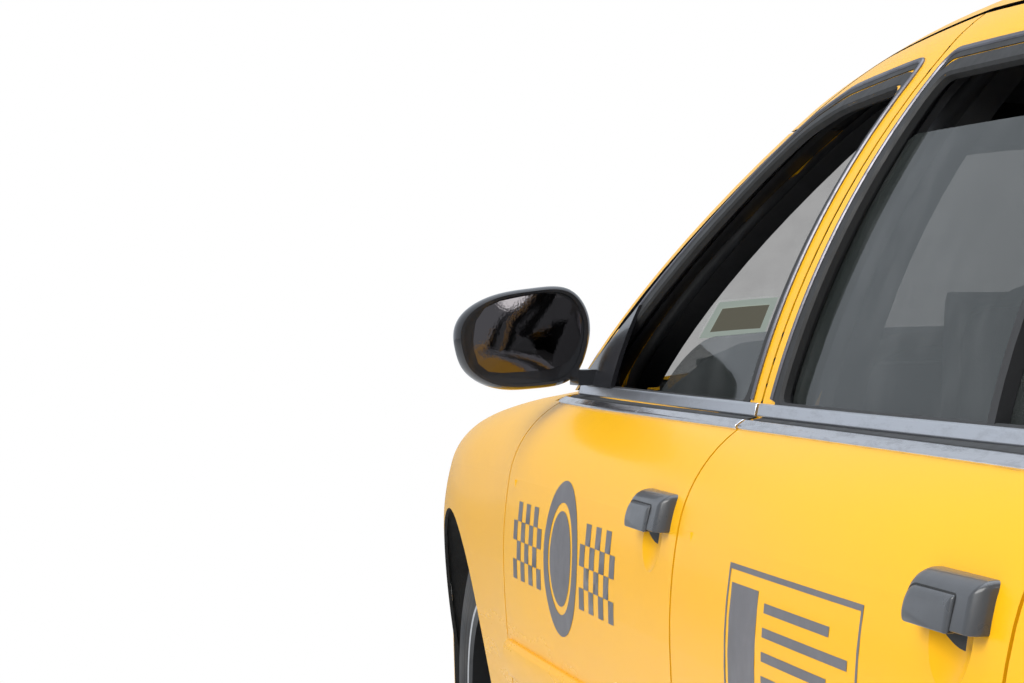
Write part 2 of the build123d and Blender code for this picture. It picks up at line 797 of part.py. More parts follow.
def bumper_half(end_x, side_x, side_y, low, high, bulge, thickness, plate_z):
    """Left half of a bumper cover: a plan form crossed with a side profile, hollow behind."""
    forward = 1 if end_x > 0 else -1
    depth = abs(end_x - side_x)

    def plan(inset):
        with BuildSketch() as outline:
            with BuildLine():
                bend = [(end_x - forward * (depth * back + inset), side_y * out - (inset if out else 0))
                        for back, out in bumper_plan]
                side = (side_x, side_y - inset)
                Spline(*bend, side, tangents=((0, 1), (-forward, 0.16)))
                Polyline(side, (side_x, 0), bend[0])
            make_face()
        return outline.sketch

    def profile(inset, below):
        with BuildSketch() as outline:
            with BuildLine():
                top = (end_x - forward * (bulge + inset), high)
                nose = (end_x - forward * inset, low + (high - low) * 0.55)
                foot = (end_x - forward * (bulge * 1.6 + inset), low)
                ThreePointArc(top, nose, foot)
                Polyline(foot, (foot[0], low - below), (side_x, low - below), (side_x, high), top)
            make_face()
        return outline.sketch

    solid = common(plan_prism(plan(0), low, high), side_prism(profile(0, 0.5), inner=-10))
    hollow = joined(common(plan_prism(plan(thickness), low - 20, high - thickness),
                           side_prism(profile(thickness, 20), inner=-20)),
                    plan_prism(plan(bumper_flange), (low + high) / 2, high + 20))
    rail_end = rail_front_x if end_x > 0 else rail_rear_x
    bracket = common(box(min(rail_end, end_x), max(rail_end, end_x), rail_narrow - 30, rail_narrow + 30, 395, 455),
                     solid)
    with BuildPart() as plate_hole:
        with BuildSketch(Plane.YZ.offset(min(end_x - forward * 60, end_x + forward * 10))):
            with Locations((plate_spacing / 2, plate_z)):
                Circle(plate_hole_radius)
        extrude(amount=70)
    return joined(cut(solid, hollow, plate_hole.part), bracket)


front_bumper_half = cut(bumper_half(overall_length / 2, arch_front_x, 905, 255, bumper_split_z - 3, 34, 18, 430),
                        front_wheel_hole)
rear_bumper_half = bumper_half(-overall_length / 2, rear_bumper_x, 935, 270, bumper_top_z - 3, 34, 18, 450)


# Door handles and mirrors
handle_forms = body_form(side=-handle_stand)


def mirror_section(scale):
    """Outline of the mirror housing, seen from behind, about its own middle."""
    points = ((107, -8), (97, 36), (58, 63), (-22, 78), (-82, 72), (-107, 34), (-103, -22), (-78, -66),
              (-20, -80), (54, -75), (92, -50))
    with BuildSketch() as outline:
        with BuildLine():
            Spline(*((-scale * y, scale * z) for y, z in points), periodic=True)
        make_face()
    return outline.sketch


mirror_middle = (930, 958, 1036)
mirror_depth = 92
with BuildPart() as mirror_left:
    x, y, z = mirror_middle
    for step, scale in ((0, 0.94), (0.2, 1.0), (0.5, 0.97), (0.8, 0.82), (1.0, 0.55)):
        with BuildSketch(Plane(origin=(x + step * mirror_depth, y, z), x_dir=(0, -1, 0), z_dir=(-1, 0, 0))):
            add(mirror_section(scale))
    loft()
    with BuildSketch(Plane(origin=(x, y, z), x_dir=(0, -1, 0), z_dir=(-1, 0, 0))):
        add(mirror_section(0.885))
    extrude(amount=-10, mode=Mode.SUBTRACT)
    with BuildSketch(Plane(origin=(x + 6, y, z), x_dir=(0, -1, 0), z_dir=(-1, 0, 0))):
        add(mirror_section(0.88))
    extrude(amount=-5)
with BuildSketch() as sail_outline:
    with BuildLine():
        Polyline((940, belt_z + 18), (742, belt_z + 18), (742, belt_z + 142), (940, belt_z + 45), close=True)
    make_face()
sail = cut(common(roof_form(side=-7), side_prism(sail_outline.sketch)), outer_roof)
mirror_swing = 92
with BuildSketch() as swing_plan:
    with Locations((front_hinge_x + 100, hinge_y - 150)):
        Rectangle(200, 300)
    with Locations((front_hinge_x, hinge_y)):
        Circle(mirror_swing, mode=Mode.SUBTRACT)
mirror_foot = box(880, front_hinge_x, 840, 885, belt_z + 20, belt_z + 44)
mirror_piece = joined(cut(joined(mirror_left.part, mirror_foot), plan_prism(swing_plan.sketch),
                          roof_form(side=-5), outer_body), sail)


def handle_on(place):
    """Door handle: a rounded bar standing on the door skin."""
    with BuildSketch() as plate:
        with Locations(place):
            RectangleRounded(handle_length, handle_height, 14)
    return cut(common(handle_forms, side_prism(plate.sketch)), outer_body)


front_handle_left = handle_on(front_handle)
rear_handle_left = handle_on(rear_handle)


# Under the cabin: floor pan with boot tub, firewall with front aprons
cabin_floor_z = 240
floor_front_x, floor_rear_x = 1100, -1120
boot_floor_z = 580
well_floor_z = 480
well_front_x = -1700
shelf_z = 1000
tunnel_half = 125
tunnel_top = cabin_floor_z + 180
rear_house_y = 560
cabin_room = body_form(side=side_depth + 0.3, top=30, drop=150)
boot_room = body_form(side=quarter_skin, top=40, drop=150)
with BuildPart() as tunnel:
    with BuildSketch(Plane.YZ.offset(floor_rear_x)):
        with BuildLine():
            Polyline((-tunnel_half - floor_sheet, cabin_floor_z), (-tunnel_half, tunnel_top),
                     (tunnel_half, tunnel_top), (tunnel_half + floor_sheet, cabin_floor_z), close=True)
        make_face()
    extrude(amount=floor_front_x - floor_rear_x)
    with BuildSketch(Plane.YZ.offset(floor_rear_x)):
        with BuildLine():
            Polyline((-tunnel_half, cabin_floor_z), (-tunnel_half + 20, tunnel_top - floor_sheet),
                     (tunnel_half - 20, tunnel_top - floor_sheet), (tunnel_half, cabin_floor_z), close=True)
        make_face()
    extrude(amount=floor_front_x - floor_rear_x, mode=Mode.SUBTRACT)
cabin_plate = cut(box(floor_rear_x, floor_front_x, -10, 900, cabin_floor_z, cabin_floor_z + floor_sheet),
                  box(floor_rear_x - 1, floor_front_x + 1, -20, tunnel_half + 2, 0, 400))
cabin_plate = common(cabin_plate, cabin_room)
with BuildPart() as rear_house:
    with BuildSketch(Plane.XZ.offset(-rear_house_out)):
        with Locations((rear_axle_x, tyre_radius)):
            Circle(house_radius + house_wall)
            Circle(house_radius, mode=Mode.SUBTRACT)
        with Locations((rear_axle_x, cabin_floor_z - 300)):
            Rectangle(1000, 600, mode=Mode.SUBTRACT)
    extrude(amount=rear_house_out - rear_house_y)
    with BuildSketch(Plane.XZ.offset(-rear_house_y)):
        with Locations((rear_axle_x, tyre_radius)):
            Circle(house_radius + house_wall)
        with Locations((rear_axle_x, cabin_floor_z - 300)):
            Rectangle(1000, 600, mode=Mode.SUBTRACT)
    extrude(amount=house_wall)
rear_house_left = cut(common(rear_house.part, boot_room),
                      box(rear_axle_x - 120, rear_axle_x + 120, 500, 600, 200, 480))
rear_wheel_room = side_prism(wheel_circle(rear_axle_x, house_radius), inner=rear_house_y)
bulkhead_x = floor_rear_x - floor_sheet
arm_slot = box(lid_front_x - 1, lid_axis[0] + 72, lid_arm_y - 15, lid_arm_y + 15, shelf_z - 30, shelf_z + 30)
lid_cheek = box(lid_axis[0] - 15, lid_axis[0] + 15, lid_arm_y + lid_arm_width / 2 + hinge_play, lid_arm_y + 26,
                shelf_z - floor_sheet, lid_axis[1] + 14)
bulkhead = common(joined(
    box(bulkhead_x, floor_rear_x, 0, 700, cabin_floor_z, boot_floor_z + floor_sheet),
    box(bulkhead_x, floor_rear_x, 0, 860, boot_floor_z, shelf_z),
), cabin_room)
boot_tub = common(joined(
    box(well_front_x, bulkhead_x, 0, rear_house_y, boot_floor_z, boot_floor_z + floor_sheet),
    box(well_front_x - floor_sheet, well_front_x, 0, 900, well_floor_z, boot_floor_z + floor_sheet),
    box(rear_bumper_x + 10, well_front_x - floor_sheet, 0, 960, well_floor_z, well_floor_z + floor_sheet),
    box(tail_x + 50, rear_bumper_x + 10, 0, 640, well_floor_z, well_floor_z + floor_sheet),
    box(tail_x + 42, tail_x + 62, 0, 640, well_floor_z, lid_low_z),
    cut(box(lid_front_x + 12, bulkhead_x, 0, 850, shelf_z - floor_sheet, shelf_z), arm_slot),
    lid_cheek,
), boot_room)
floor_half = cut(joined(cabin_plate, bulkhead, boot_tub), rear_wheel_room,
                 box(bulkhead_x - 1, floor_rear_x + 1, -10, tunnel_half - 20, 200, tunnel_top - floor_sheet))
floor_half = joined(floor_half, rear_house_left)

firewall_x = floor_front_x
front_house_y = 500
apron_top_z = 800
firewall_half = joined(
    cut(common(box(firewall_x, firewall_x + floor_sheet, 0, 900, cabin_floor_z, cowl_shelf_z), cabin_room),
        box(firewall_x - 1, firewall_x + 30, -10, tunnel_half - 20, 200, tunnel_top - floor_sheet)),
    common(box(firewall_x, 1278, 0, 770, cowl_shelf_z - floor_sheet, cowl_shelf_z), cabin_room),
    box(firewall_x, nose_x - 260, front_house_y - 16, front_house_y, 470, apron_top_z),
    box(nose_x - 280, nose_x - 260, 0, front_house_y, 380, apron_top_z - 110),
    box(nose_x - 260, header_x, 280, 310, 600, 640),
    hood_post,
)
firewall_half = cut(firewall_half, cowl_half, windscreen_half)

# Separate frame: two rails, bent in plan and in side view, with cross members
rail_width = 70
rail_height = 95
rail_path = (
    (rail_front_x, rail_narrow, 430), (1290, rail_narrow, 430), (1010, rail_wide, 192), (-860, rail_wide, 192),
    (-1010, rail_narrow + 20, 300), (-1120, rail_narrow, 525), (-1520, rail_narrow, 525),
    (-1760, rail_narrow, 425), (rail_rear_x, rail_narrow, 425),
)
with BuildSketch() as rail_plan:
    with BuildLine():
        Polyline(*[(x, y + rail_width / 2) for x, y, z in rail_path],
                 *[(x, y - rail_width / 2) for x, y, z in reversed(rail_path)], close=True)
    make_face()
with BuildSketch() as rail_side:
    with BuildLine():
        Polyline(*[(x, z + rail_height / 2) for x, y, z in rail_path],
                 *[(x, z - rail_height / 2) for x, y, z in reversed(rail_path)], close=True)
    make_face()
rail_left = common(plan_prism(rail_plan.sketch, 50, 700), side_prism(rail_side.sketch, inner=300))
cross_members = (
    (nose_x - 180, 60, rail_narrow, 400, 60),
    (front_axle_x, 150, rail_narrow, 390, 90),
    (560, 90, rail_wide, 218, 40),
    (-1135, 60, rail_narrow, 520, 60),
    (-1640, 60, rail_narrow, 455, 60),
    (tail_x + 150, 60, rail_narrow, 425, 70),
)
with BuildPart() as chassis_frame:
    add(rail_left)
    add(right_copy(rail_left))
    for x, length, half, z, height in cross_members:
        with BuildSketch(Plane.XY.offset(z - height / 2)):
            with Locations((x, 0)):
                Rectangle(length, 2 * half)
        extrude(amount=height)

# Front suspension: arms and spring legs from the frame to the knuckles
kingpin_y = 740
lower_ball_z, upper_ball_z = 236, 452
ball_radius = 18
arm_thickness = 22
spring_y = 552
with BuildPart() as suspension_half:
    with BuildSketch(Plane.XY.offset(lower_ball_z - arm_thickness / 2)):
        with BuildLine():
            Polyline((front_axle_x - 170, 440), (front_axle_x - 26, 640), (front_axle_x - 20, kingpin_y),
                     (front_axle_x + 20, kingpin_y), (front_axle_x + 26, 640), (front_axle_x + 170, 440),
                     close=True)
        make_face()
    extrude(amount=arm_thickness)
    with BuildSketch(Plane.XY.offset(upper_ball_z - arm_thickness / 2)):
        with BuildLine():
            Polyline((front_axle_x - 95, 500), (front_axle_x - 22, 660), (front_axle_x - 18, kingpin_y),
                     (front_axle_x + 18, kingpin_y), (front_axle_x + 22, 660), (front_axle_x + 95, 500),
                     close=True)
        make_face()
    extrude(amount=arm_thickness)
    with BuildSketch(Plane.XY.offset(lower_ball_z)):
        with Locations((front_axle_x, spring_y)):
            Circle(44)
    extrude(amount=330)
    with BuildSketch(Plane.XY.offset(lower_ball_z - 40)):
        with Locations((front_axle_x, 444)):
            Rectangle(380, 40)
    extrude(amount=149)
    with BuildSketch(Plane.XY.offset(540)):
        with Locations((front_axle_x, front_house_y + 31)):
            Rectangle(140, 62)
    extrude(amount=24)
front_suspension = joined(suspension_half.part, right_copy(suspension_half.part))

# Wheels, knuckles and rear axle
hub_face_y = front_wheel_y + rim_offset
rear_hub_face_y = rear_wheel_y + rim_offset
disc_radius = 148


def spun(side, x, y, *profiles):
    """Solid of revolution about a wheel's axle from (radius, distance outboard) outlines."""
    with BuildPart() as body:
        with BuildSketch(Plane(origin=(x, side * y, tyre_radius), x_dir=(0, 0, 1), z_dir=(-side, 0, 0))):
            for points in profiles:
                with BuildLine():
                    Polyline(*points, close=True)
                make_face()
        revolve(axis=Axis((x, 0, tyre_radius), (0, 1, 0)))
    return body.part


def tyre_at(side, x, y):
    """Tyre with square shoulders and straight beads."""
    half = tyre_width / 2
    bead = rim_width / 2
    return spun(side, x, y, (
        (rim_radius, -bead), (rim_radius + 14, -bead - 4), (rim_radius + 40, -half + 3),
        (rim_radius + 85, -half), (tyre_radius - 28, -half + 9), (tyre_radius - 6, -half + 26),
        (tyre_radius, -half + 42), (tyre_radius, half - 42), (tyre_radius - 6, half - 26),
        (tyre_radius - 28, half - 9), (rim_radius + 85, half), (rim_radius + 40, half - 3),
        (rim_radius + 14, bead + 4), (rim_radius, bead),
    ))


def rim_at(side, x, y):
    """Steel wheel: a barrel with a dished, slotted disc."""
    bead = rim_width / 2
    wall = rim_wall
    barrel = (
        (rim_radius, -bead), (rim_radius + rim_flange, -bead - wall), (rim_radius + rim_flange, -bead - 2 * wall),
        (rim_radius - wall, -bead - wall), (rim_radius - wall, -bead + 26), (rim_radius - 24, -bead + 44),
        (rim_radius - 24, bead - 50), (rim_radius - wall, bead - 28), (rim_radius - wall, bead + wall),
        (rim_radius + rim_flange, bead + 2 * wall), (rim_radius + rim_flange, bead + wall),
        (rim_radius, bead), (rim_radius, bead - 30), (rim_radius - 18, bead - 54),
        (rim_radius - 18, -bead + 48), (rim_radius, -bead + 28),
    )
    disc = (
        (hub_hole / 2, rim_offset + hub_gap), (82, rim_offset + hub_gap), (118, rim_offset + 22),
        (158, rim_offset + 14), (rim_radius - 22, rim_offset - 22), (rim_radius - 22, rim_offset - 22 + rim_disc * 1.6),
        (160, rim_offset + 14 + rim_disc), (116, rim_offset + 22 + rim_disc), (78, rim_offset + rim_disc),
        (hub_hole / 2, rim_offset + rim_disc),
    )
    body = spun(side, x, y, barrel)
    centre = spun(side, x, y, disc)
    with BuildPart() as rim:
        add(body)
        add(centre)
        with BuildSketch(Plane(origin=(x, side * (y - 60), tyre_radius), x_dir=(1, 0, 0), z_dir=(0, side, 0))):
            with PolarLocations(rim_slot_radius - 10, rim_slots, rotate=True):
                with Locations(Rotation(0, 0, 90)):
                    SlotOverall(46, 24)
            with PolarLocations(hub_bolt_circle / 2, 5):
                Circle(7)
        extrude(amount=200, mode=Mode.SUBTRACT)
    return rim.part


hub_gap = 0.3
knuckle_low = lower_ball_z + arm_thickness / 2 + hub_gap
knuckle_high = upper_ball_z - arm_thickness / 2 - hub_gap
ball_seat = 8


def knuckle_left_part():
    """Steering knuckle with hub flange, brake disc and calliper, between the two ball joints."""
    y = kingpin_y
    face = hub_face_y
    with BuildPart() as knuckle:
        with BuildSketch(Plane.XZ.offset(-(y + 24))):
            with Locations((front_axle_x, (lower_ball_z + upper_ball_z) / 2)):
                Rectangle(56, knuckle_high - knuckle_low - 2 * ball_seat)
            with Locations((front_axle_x, tyre_radius)):
                Circle(62)
        extrude(amount=48)
        for low in (knuckle_low, knuckle_high - ball_seat):
            with BuildSketch(Plane.XY.offset(low)):
                with Locations((front_axle_x, y)):
                    Circle(20)
            extrude(amount=ball_seat)
        add(spun(1, front_axle_x, 0, ((0, y), (52, y), (52, face - 30), (disc_radius, face - 30),
                                      (disc_radius, face - 8), (72, face - 8), (72, face), (0, face))))
        add(spun(1, front_axle_x, 0, ((0, face), (34, face), (34, face + 34), (0, face + 34))))
        with BuildSketch(Plane.XZ.offset(-(face - 15))):
            with BuildLine():
                CenterArc((front_axle_x, tyre_radius), 118, 140, 80)
                CenterArc((front_axle_x, tyre_radius), 168, 140, 80)
                for angle in (140, 220):
                    turn = radians(angle)
                    Line((front_axle_x + 118 * cos(turn), tyre_radius + 118 * sin(turn)),
                         (front_axle_x + 168 * cos(turn), tyre_radius + 168 * sin(turn)))
            make_face()
        extrude(amount=50)
        with BuildSketch(Plane.XY.offset(tyre_radius - 50)):
            with Locations((front_axle_x - 70, y - 10)):
                Rectangle(120, 30)
        extrude(amount=26)
    return knuckle.part


tyres = {
    "front_left": tyre_at(1, front_axle_x, front_wheel_y),
    "front_right": tyre_at(-1, front_axle_x, front_wheel_y),
    "rear_left": tyre_at(1, rear_axle_x, rear_wheel_y),
    "rear_right": tyre_at(-1, rear_axle_x, rear_wheel_y),
}
rims = {
    "front_left": rim_at(1, front_axle_x, front_wheel_y),
    "front_right": rim_at(-1, front_axle_x, front_wheel_y),
    "rear_left": rim_at(1, rear_axle_x, rear_wheel_y),
    "rear_right": rim_at(-1, rear_axle_x, rear_wheel_y),
}
knuckle_left = knuckle_left_part()

axle_tube = 42
with BuildPart() as rear_axle:
    with BuildSketch(Plane.XZ.offset(rear_hub_face_y)):
        with Locations((rear_axle_x, tyre_radius)):
            Circle(axle_tube)
    extrude(amount=-2 * rear_hub_face_y)
    add(spun(1, rear_axle_x, 0, ((0, -150), (70, -130), (135, -60), (135, 60), (70, 130), (0, 150))))
    for side in (1, -1):
        add(spun(side, rear_axle_x, 0, ((0, rear_hub_face_y - 50), (140, rear_hub_face_y - 50),
                                        (148, rear_hub_face_y - 8), (72, rear_hub_face_y), (34, rear_hub_face_y),
                                        (34, rear_hub_face_y + 34), (0, rear_hub_face_y + 34))))
        with BuildSketch(Plane.XY.offset(tyre_radius)):
            with Locations((rear_axle_x, side * 375)):
                Circle(48)
        extrude(amount=boot_floor_z - tyre_radius)
    with BuildSketch(Plane.YZ.offset(rear_axle_x)):
        with Locations((0, tyre_radius)):
            Circle(32)
    extrude(amount=front_axle_x - 700 - rear_axle_x)

engine_block = box(front_axle_x - 330, front_axle_x + 420, -250, 250, 435, 860)
gearbox = box(front_axle_x - 700, front_axle_x - 330, -95, 95, 275, 375)
fuel_tank = box(-1690, -1530, -400, 400, 300, boot_floor_z)
exhaust_radius = 26
with BuildPart() as exhaust:
    with BuildLine() as pipe:
        FilletPolyline((1350, -200, 428), (1290, -200, 160), (-900, -230, 160), (-1120, -330, 160),
                       (-1500, -330, 190), (-1720, -500, 260), (tail_x - 20, -500, 260), radius=90)
    with BuildSketch(Plane(origin=pipe.line @ 0, z_dir=pipe.line % 0)):
        Circle(exhaust_radius)
    sweep()
    with BuildSketch(Plane.YZ.offset(-700)):
        with Locations((-205, 165)):
            SlotOverall(240, 110)
    extrude(amount=600)
    add(box(-410, -390, -215, -195, 200, cabin_floor_z))

# Cabin: seats, dashboard, steering wheel
seat_top_z = 590
with BuildPart() as front_seats:
    for side in (1, -1):
        with BuildSketch(Plane.XZ.offset(-side * 395 - 265)):
            with BuildLine():
                Polyline((520, 470), (540, 560), (500, 596), (60, 570), (-40, 1040), (-70, 1110), (-120, 1110),
                         (-140, 1060), (-60, 540), (-40, 470), close=True)
            make_face()
        extrude(amount=530)
        with BuildSketch(Plane.XY.offset(cabin_floor_z + floor_sheet)):
            with Locations((230, side * 395)):
                Rectangle(420, 400)
        extrude(amount=470 - cabin_floor_z - floor_sheet)
with BuildPart() as rear_seat:
    with BuildSketch(Plane.XZ.offset(-690)):
        with BuildLine():
            Polyline((-480, cabin_floor_z + floor_sheet), (-440, 540), (-500, 590), (-900, 560), (-1030, 985),
                     (-1080, 1010), (-1118, 990), (-1118, cabin_floor_z + floor_sheet), close=True)
        make_face()
    extrude(amount=1380)
    for side in (1, -1):
        with BuildSketch(Plane.XZ.offset(-750 if side > 0 else 545)):
            add(wheel_circle(rear_axle_x, house_radius + house_wall + 4))
        extrude(amount=205, mode=Mode.SUBTRACT)
    add(tunnel.part, mode=Mode.SUBTRACT)
    add(box(-2000, 0, -tunnel_half, tunnel_half, 0, tunnel_top), mode=Mode.SUBTRACT)
with BuildPart() as dashboard:
    with BuildSketch(Plane.XZ.offset(-730)):
        with BuildLine():
            Polyline((firewall_x, 560), (900, 560), (760, 660), (690, 840), (740, 920), (980, 916), (980, 880),
                     (firewall_x, 880), close=True)
        make_face()
    extrude(amount=1460)
wheel_centre = (560, 395, 850)
wheel_tilt = 24
steering_radius = 188
steering_plane = Plane(origin=wheel_centre, x_dir=(0, 1, 0),
                       z_dir=(-cos(radians(wheel_tilt)), 0, sin(radians(wheel_tilt))))
with BuildPart() as steering_wheel:
    with BuildSketch(Plane(origin=wheel_centre, x_dir=(0, 1, 0), z_dir=steering_plane.x_dir.cross(steering_plane.z_dir))):
        with Locations((steering_radius, 0)):
            Circle(14)
    revolve(axis=Axis(wheel_centre, steering_plane.z_dir))
    with BuildSketch(steering_plane.offset(-30)):
        Circle(62)
        with Locations((0, 0)):
            Rectangle(2 * steering_radius - 10, 34)
    extrude(amount=26)
    with BuildSketch(steering_plane.offset(-30)):
        Circle(18)
    extrude(amount=-70)
with BuildPart() as column:
    add(dashboard.part)
    with BuildSketch(steering_plane.offset(-100 - hinge_play)):
        Circle(30)
    extrude(amount=-110)

# Roof light
light_z = roof_z - 6
with BuildPart() as roof_light:
    with BuildSketch(Plane.XY.offset(light_z)):
        with Locations((-250, 0)):
            RectangleRounded(170, 380, 40)
    with BuildSketch(Plane.XY.offset(light_z + 150)):
        with Locations((-250, 0)):
            RectangleRounded(110, 320, 30)
    loft()
roof_light_piece = cut(roof_light.part, joined(outer_roof, right_copy(outer_roof)))


# Same-body pieces give way to the frame
frame = chassis_frame.part
floor_pan = cut(joined(floor_half, right_copy(floor_half), tunnel.part), frame)
firewall = cut(whole(firewall_half), frame)
front_suspension = cut(front_suspension, frame)
fuel_tank = cut(fuel_tank, frame)
bench = cut(rear_seat.part, frame)

for piece, stem in (
    (side_left, "body_side"), (fender_left, "fender"), (front_door, "door_front"), (rear_door, "door_rear"),
    (mirror_piece, "mirror"), (front_handle_left, "handle_front"), (rear_handle_left, "handle_rear"),
    (knuckle_left, "knuckle"), (headlamp_left, "headlamp"), (tail_lamp_left, "tail_lamp"),
):
    write(right_copy(piece), f"{stem}_right")
    write(piece, f"{stem}_left")
write(left_front_glass, "glass_front_left")
write(right_copy(right_front_glass), "glass_front_right")
write(left_rear_glass, "glass_rear_left")
write(right_copy(rear_glass), "glass_rear_right")
for half, name in (
    (roof_half_panel, "roof_panel"), (cowl_half, "cowl_panel"), (nose_half, "nose_panel"), (hood_half, "hood"),
    (trunk_half, "trunk_lid"), (windscreen_half, "windscreen"), (backlight_half, "rear_window"),
    (front_bumper_half, "front_bumper"), (rear_bumper_half, "rear_bumper"),
):
    write(whole(half), name)
for solid, name in (
    (common(floor_pan, box(floor_rear_x, 2000, -1100, 1100, 0, 1300)), "floor_pan"),
    (common(floor_pan, box(-3000, floor_rear_x, -1100, 1100, 0, 1300)), "boot_tub"),
    (firewall, "firewall"), (frame, "chassis_frame"),
    (front_suspension, "front_suspension"), (rear_axle.part, "rear_axle"), (exhaust.part, "exhaust"),
    (fuel_tank, "fuel_tank"), (joined(engine_block, gearbox), "engine_block"), (front_seats.part, "front_seats"),
    (bench, "rear_seat"), (column.part, "dashboard"), (steering_wheel.part, "steering_wheel"),
    (roof_light_piece, "roof_light"), (grille.part, "grille"),
):
    write(solid, name)
for corner in tyres:
    write(tyres[corner], f"tyre_{corner}")
    write(rims[corner], f"rim_{corner}")
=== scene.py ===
"""Looks of a four-door taxi sedan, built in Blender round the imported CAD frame.

Every length is in metres, in the frame of the CAD: X forward, Y to the car's left, Z up, the floor at 0.
"""
from __future__ import annotations

import logging
import math
from dataclasses import dataclass
from enum import Enum
from typing import Callable, Iterable, Sequence

import bmesh
import bpy
from mathutils import Matrix, Vector
from mathutils.bvhtree import BVHTree


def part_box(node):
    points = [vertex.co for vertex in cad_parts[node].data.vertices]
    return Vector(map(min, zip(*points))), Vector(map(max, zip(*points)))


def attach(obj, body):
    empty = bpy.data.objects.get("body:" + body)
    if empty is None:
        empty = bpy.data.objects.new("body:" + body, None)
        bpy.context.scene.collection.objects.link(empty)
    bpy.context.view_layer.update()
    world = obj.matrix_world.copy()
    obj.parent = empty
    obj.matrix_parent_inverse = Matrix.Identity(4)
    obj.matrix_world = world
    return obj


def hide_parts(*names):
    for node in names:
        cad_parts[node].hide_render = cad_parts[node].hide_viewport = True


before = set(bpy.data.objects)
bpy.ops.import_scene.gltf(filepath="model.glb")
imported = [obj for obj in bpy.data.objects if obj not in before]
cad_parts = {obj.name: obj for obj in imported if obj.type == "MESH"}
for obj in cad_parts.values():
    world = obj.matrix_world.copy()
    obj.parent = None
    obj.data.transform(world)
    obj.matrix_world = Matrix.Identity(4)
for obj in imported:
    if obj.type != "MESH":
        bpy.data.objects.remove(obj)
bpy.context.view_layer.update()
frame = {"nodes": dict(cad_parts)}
log = logging.getLogger("taxi")

Colour = tuple[float, float, float]
Point2 = tuple[float, float]

FRONT_AXLE_X = 1.61
REAR_AXLE_X = -1.303
AXLE_Z = 0.338
FRONT_TRACK_Y = 0.805
REAR_TRACK_Y = 0.833
UP = Vector((0.0, 0.0, 1.0))
FORWARD = Vector((1.0, 0.0, 0.0))


class Side(Enum):
    """The two sides of the car, valued by the sign of Y."""

    LEFT = 1
    RIGHT = -1

    @property
    def word(self) -> str:
        """Name of the side as the CAD writes it."""
        return self.name.lower()


class Corner(Enum):
    """The four wheels: name, axle X and wheel centre Y."""

    FRONT_LEFT = ("front_left", FRONT_AXLE_X, FRONT_TRACK_Y)
    FRONT_RIGHT = ("front_right", FRONT_AXLE_X, -FRONT_TRACK_Y)
    REAR_LEFT = ("rear_left", REAR_AXLE_X, REAR_TRACK_Y)
    REAR_RIGHT = ("rear_right", REAR_AXLE_X, -REAR_TRACK_Y)

    @property
    def word(self) -> str:
        """Name of the corner as the CAD writes it."""
        return self.value[0]

    @property
    def side(self) -> Side:
        """Side of the car that the wheel is on."""
        return Side.LEFT if self.value[2] > 0 else Side.RIGHT


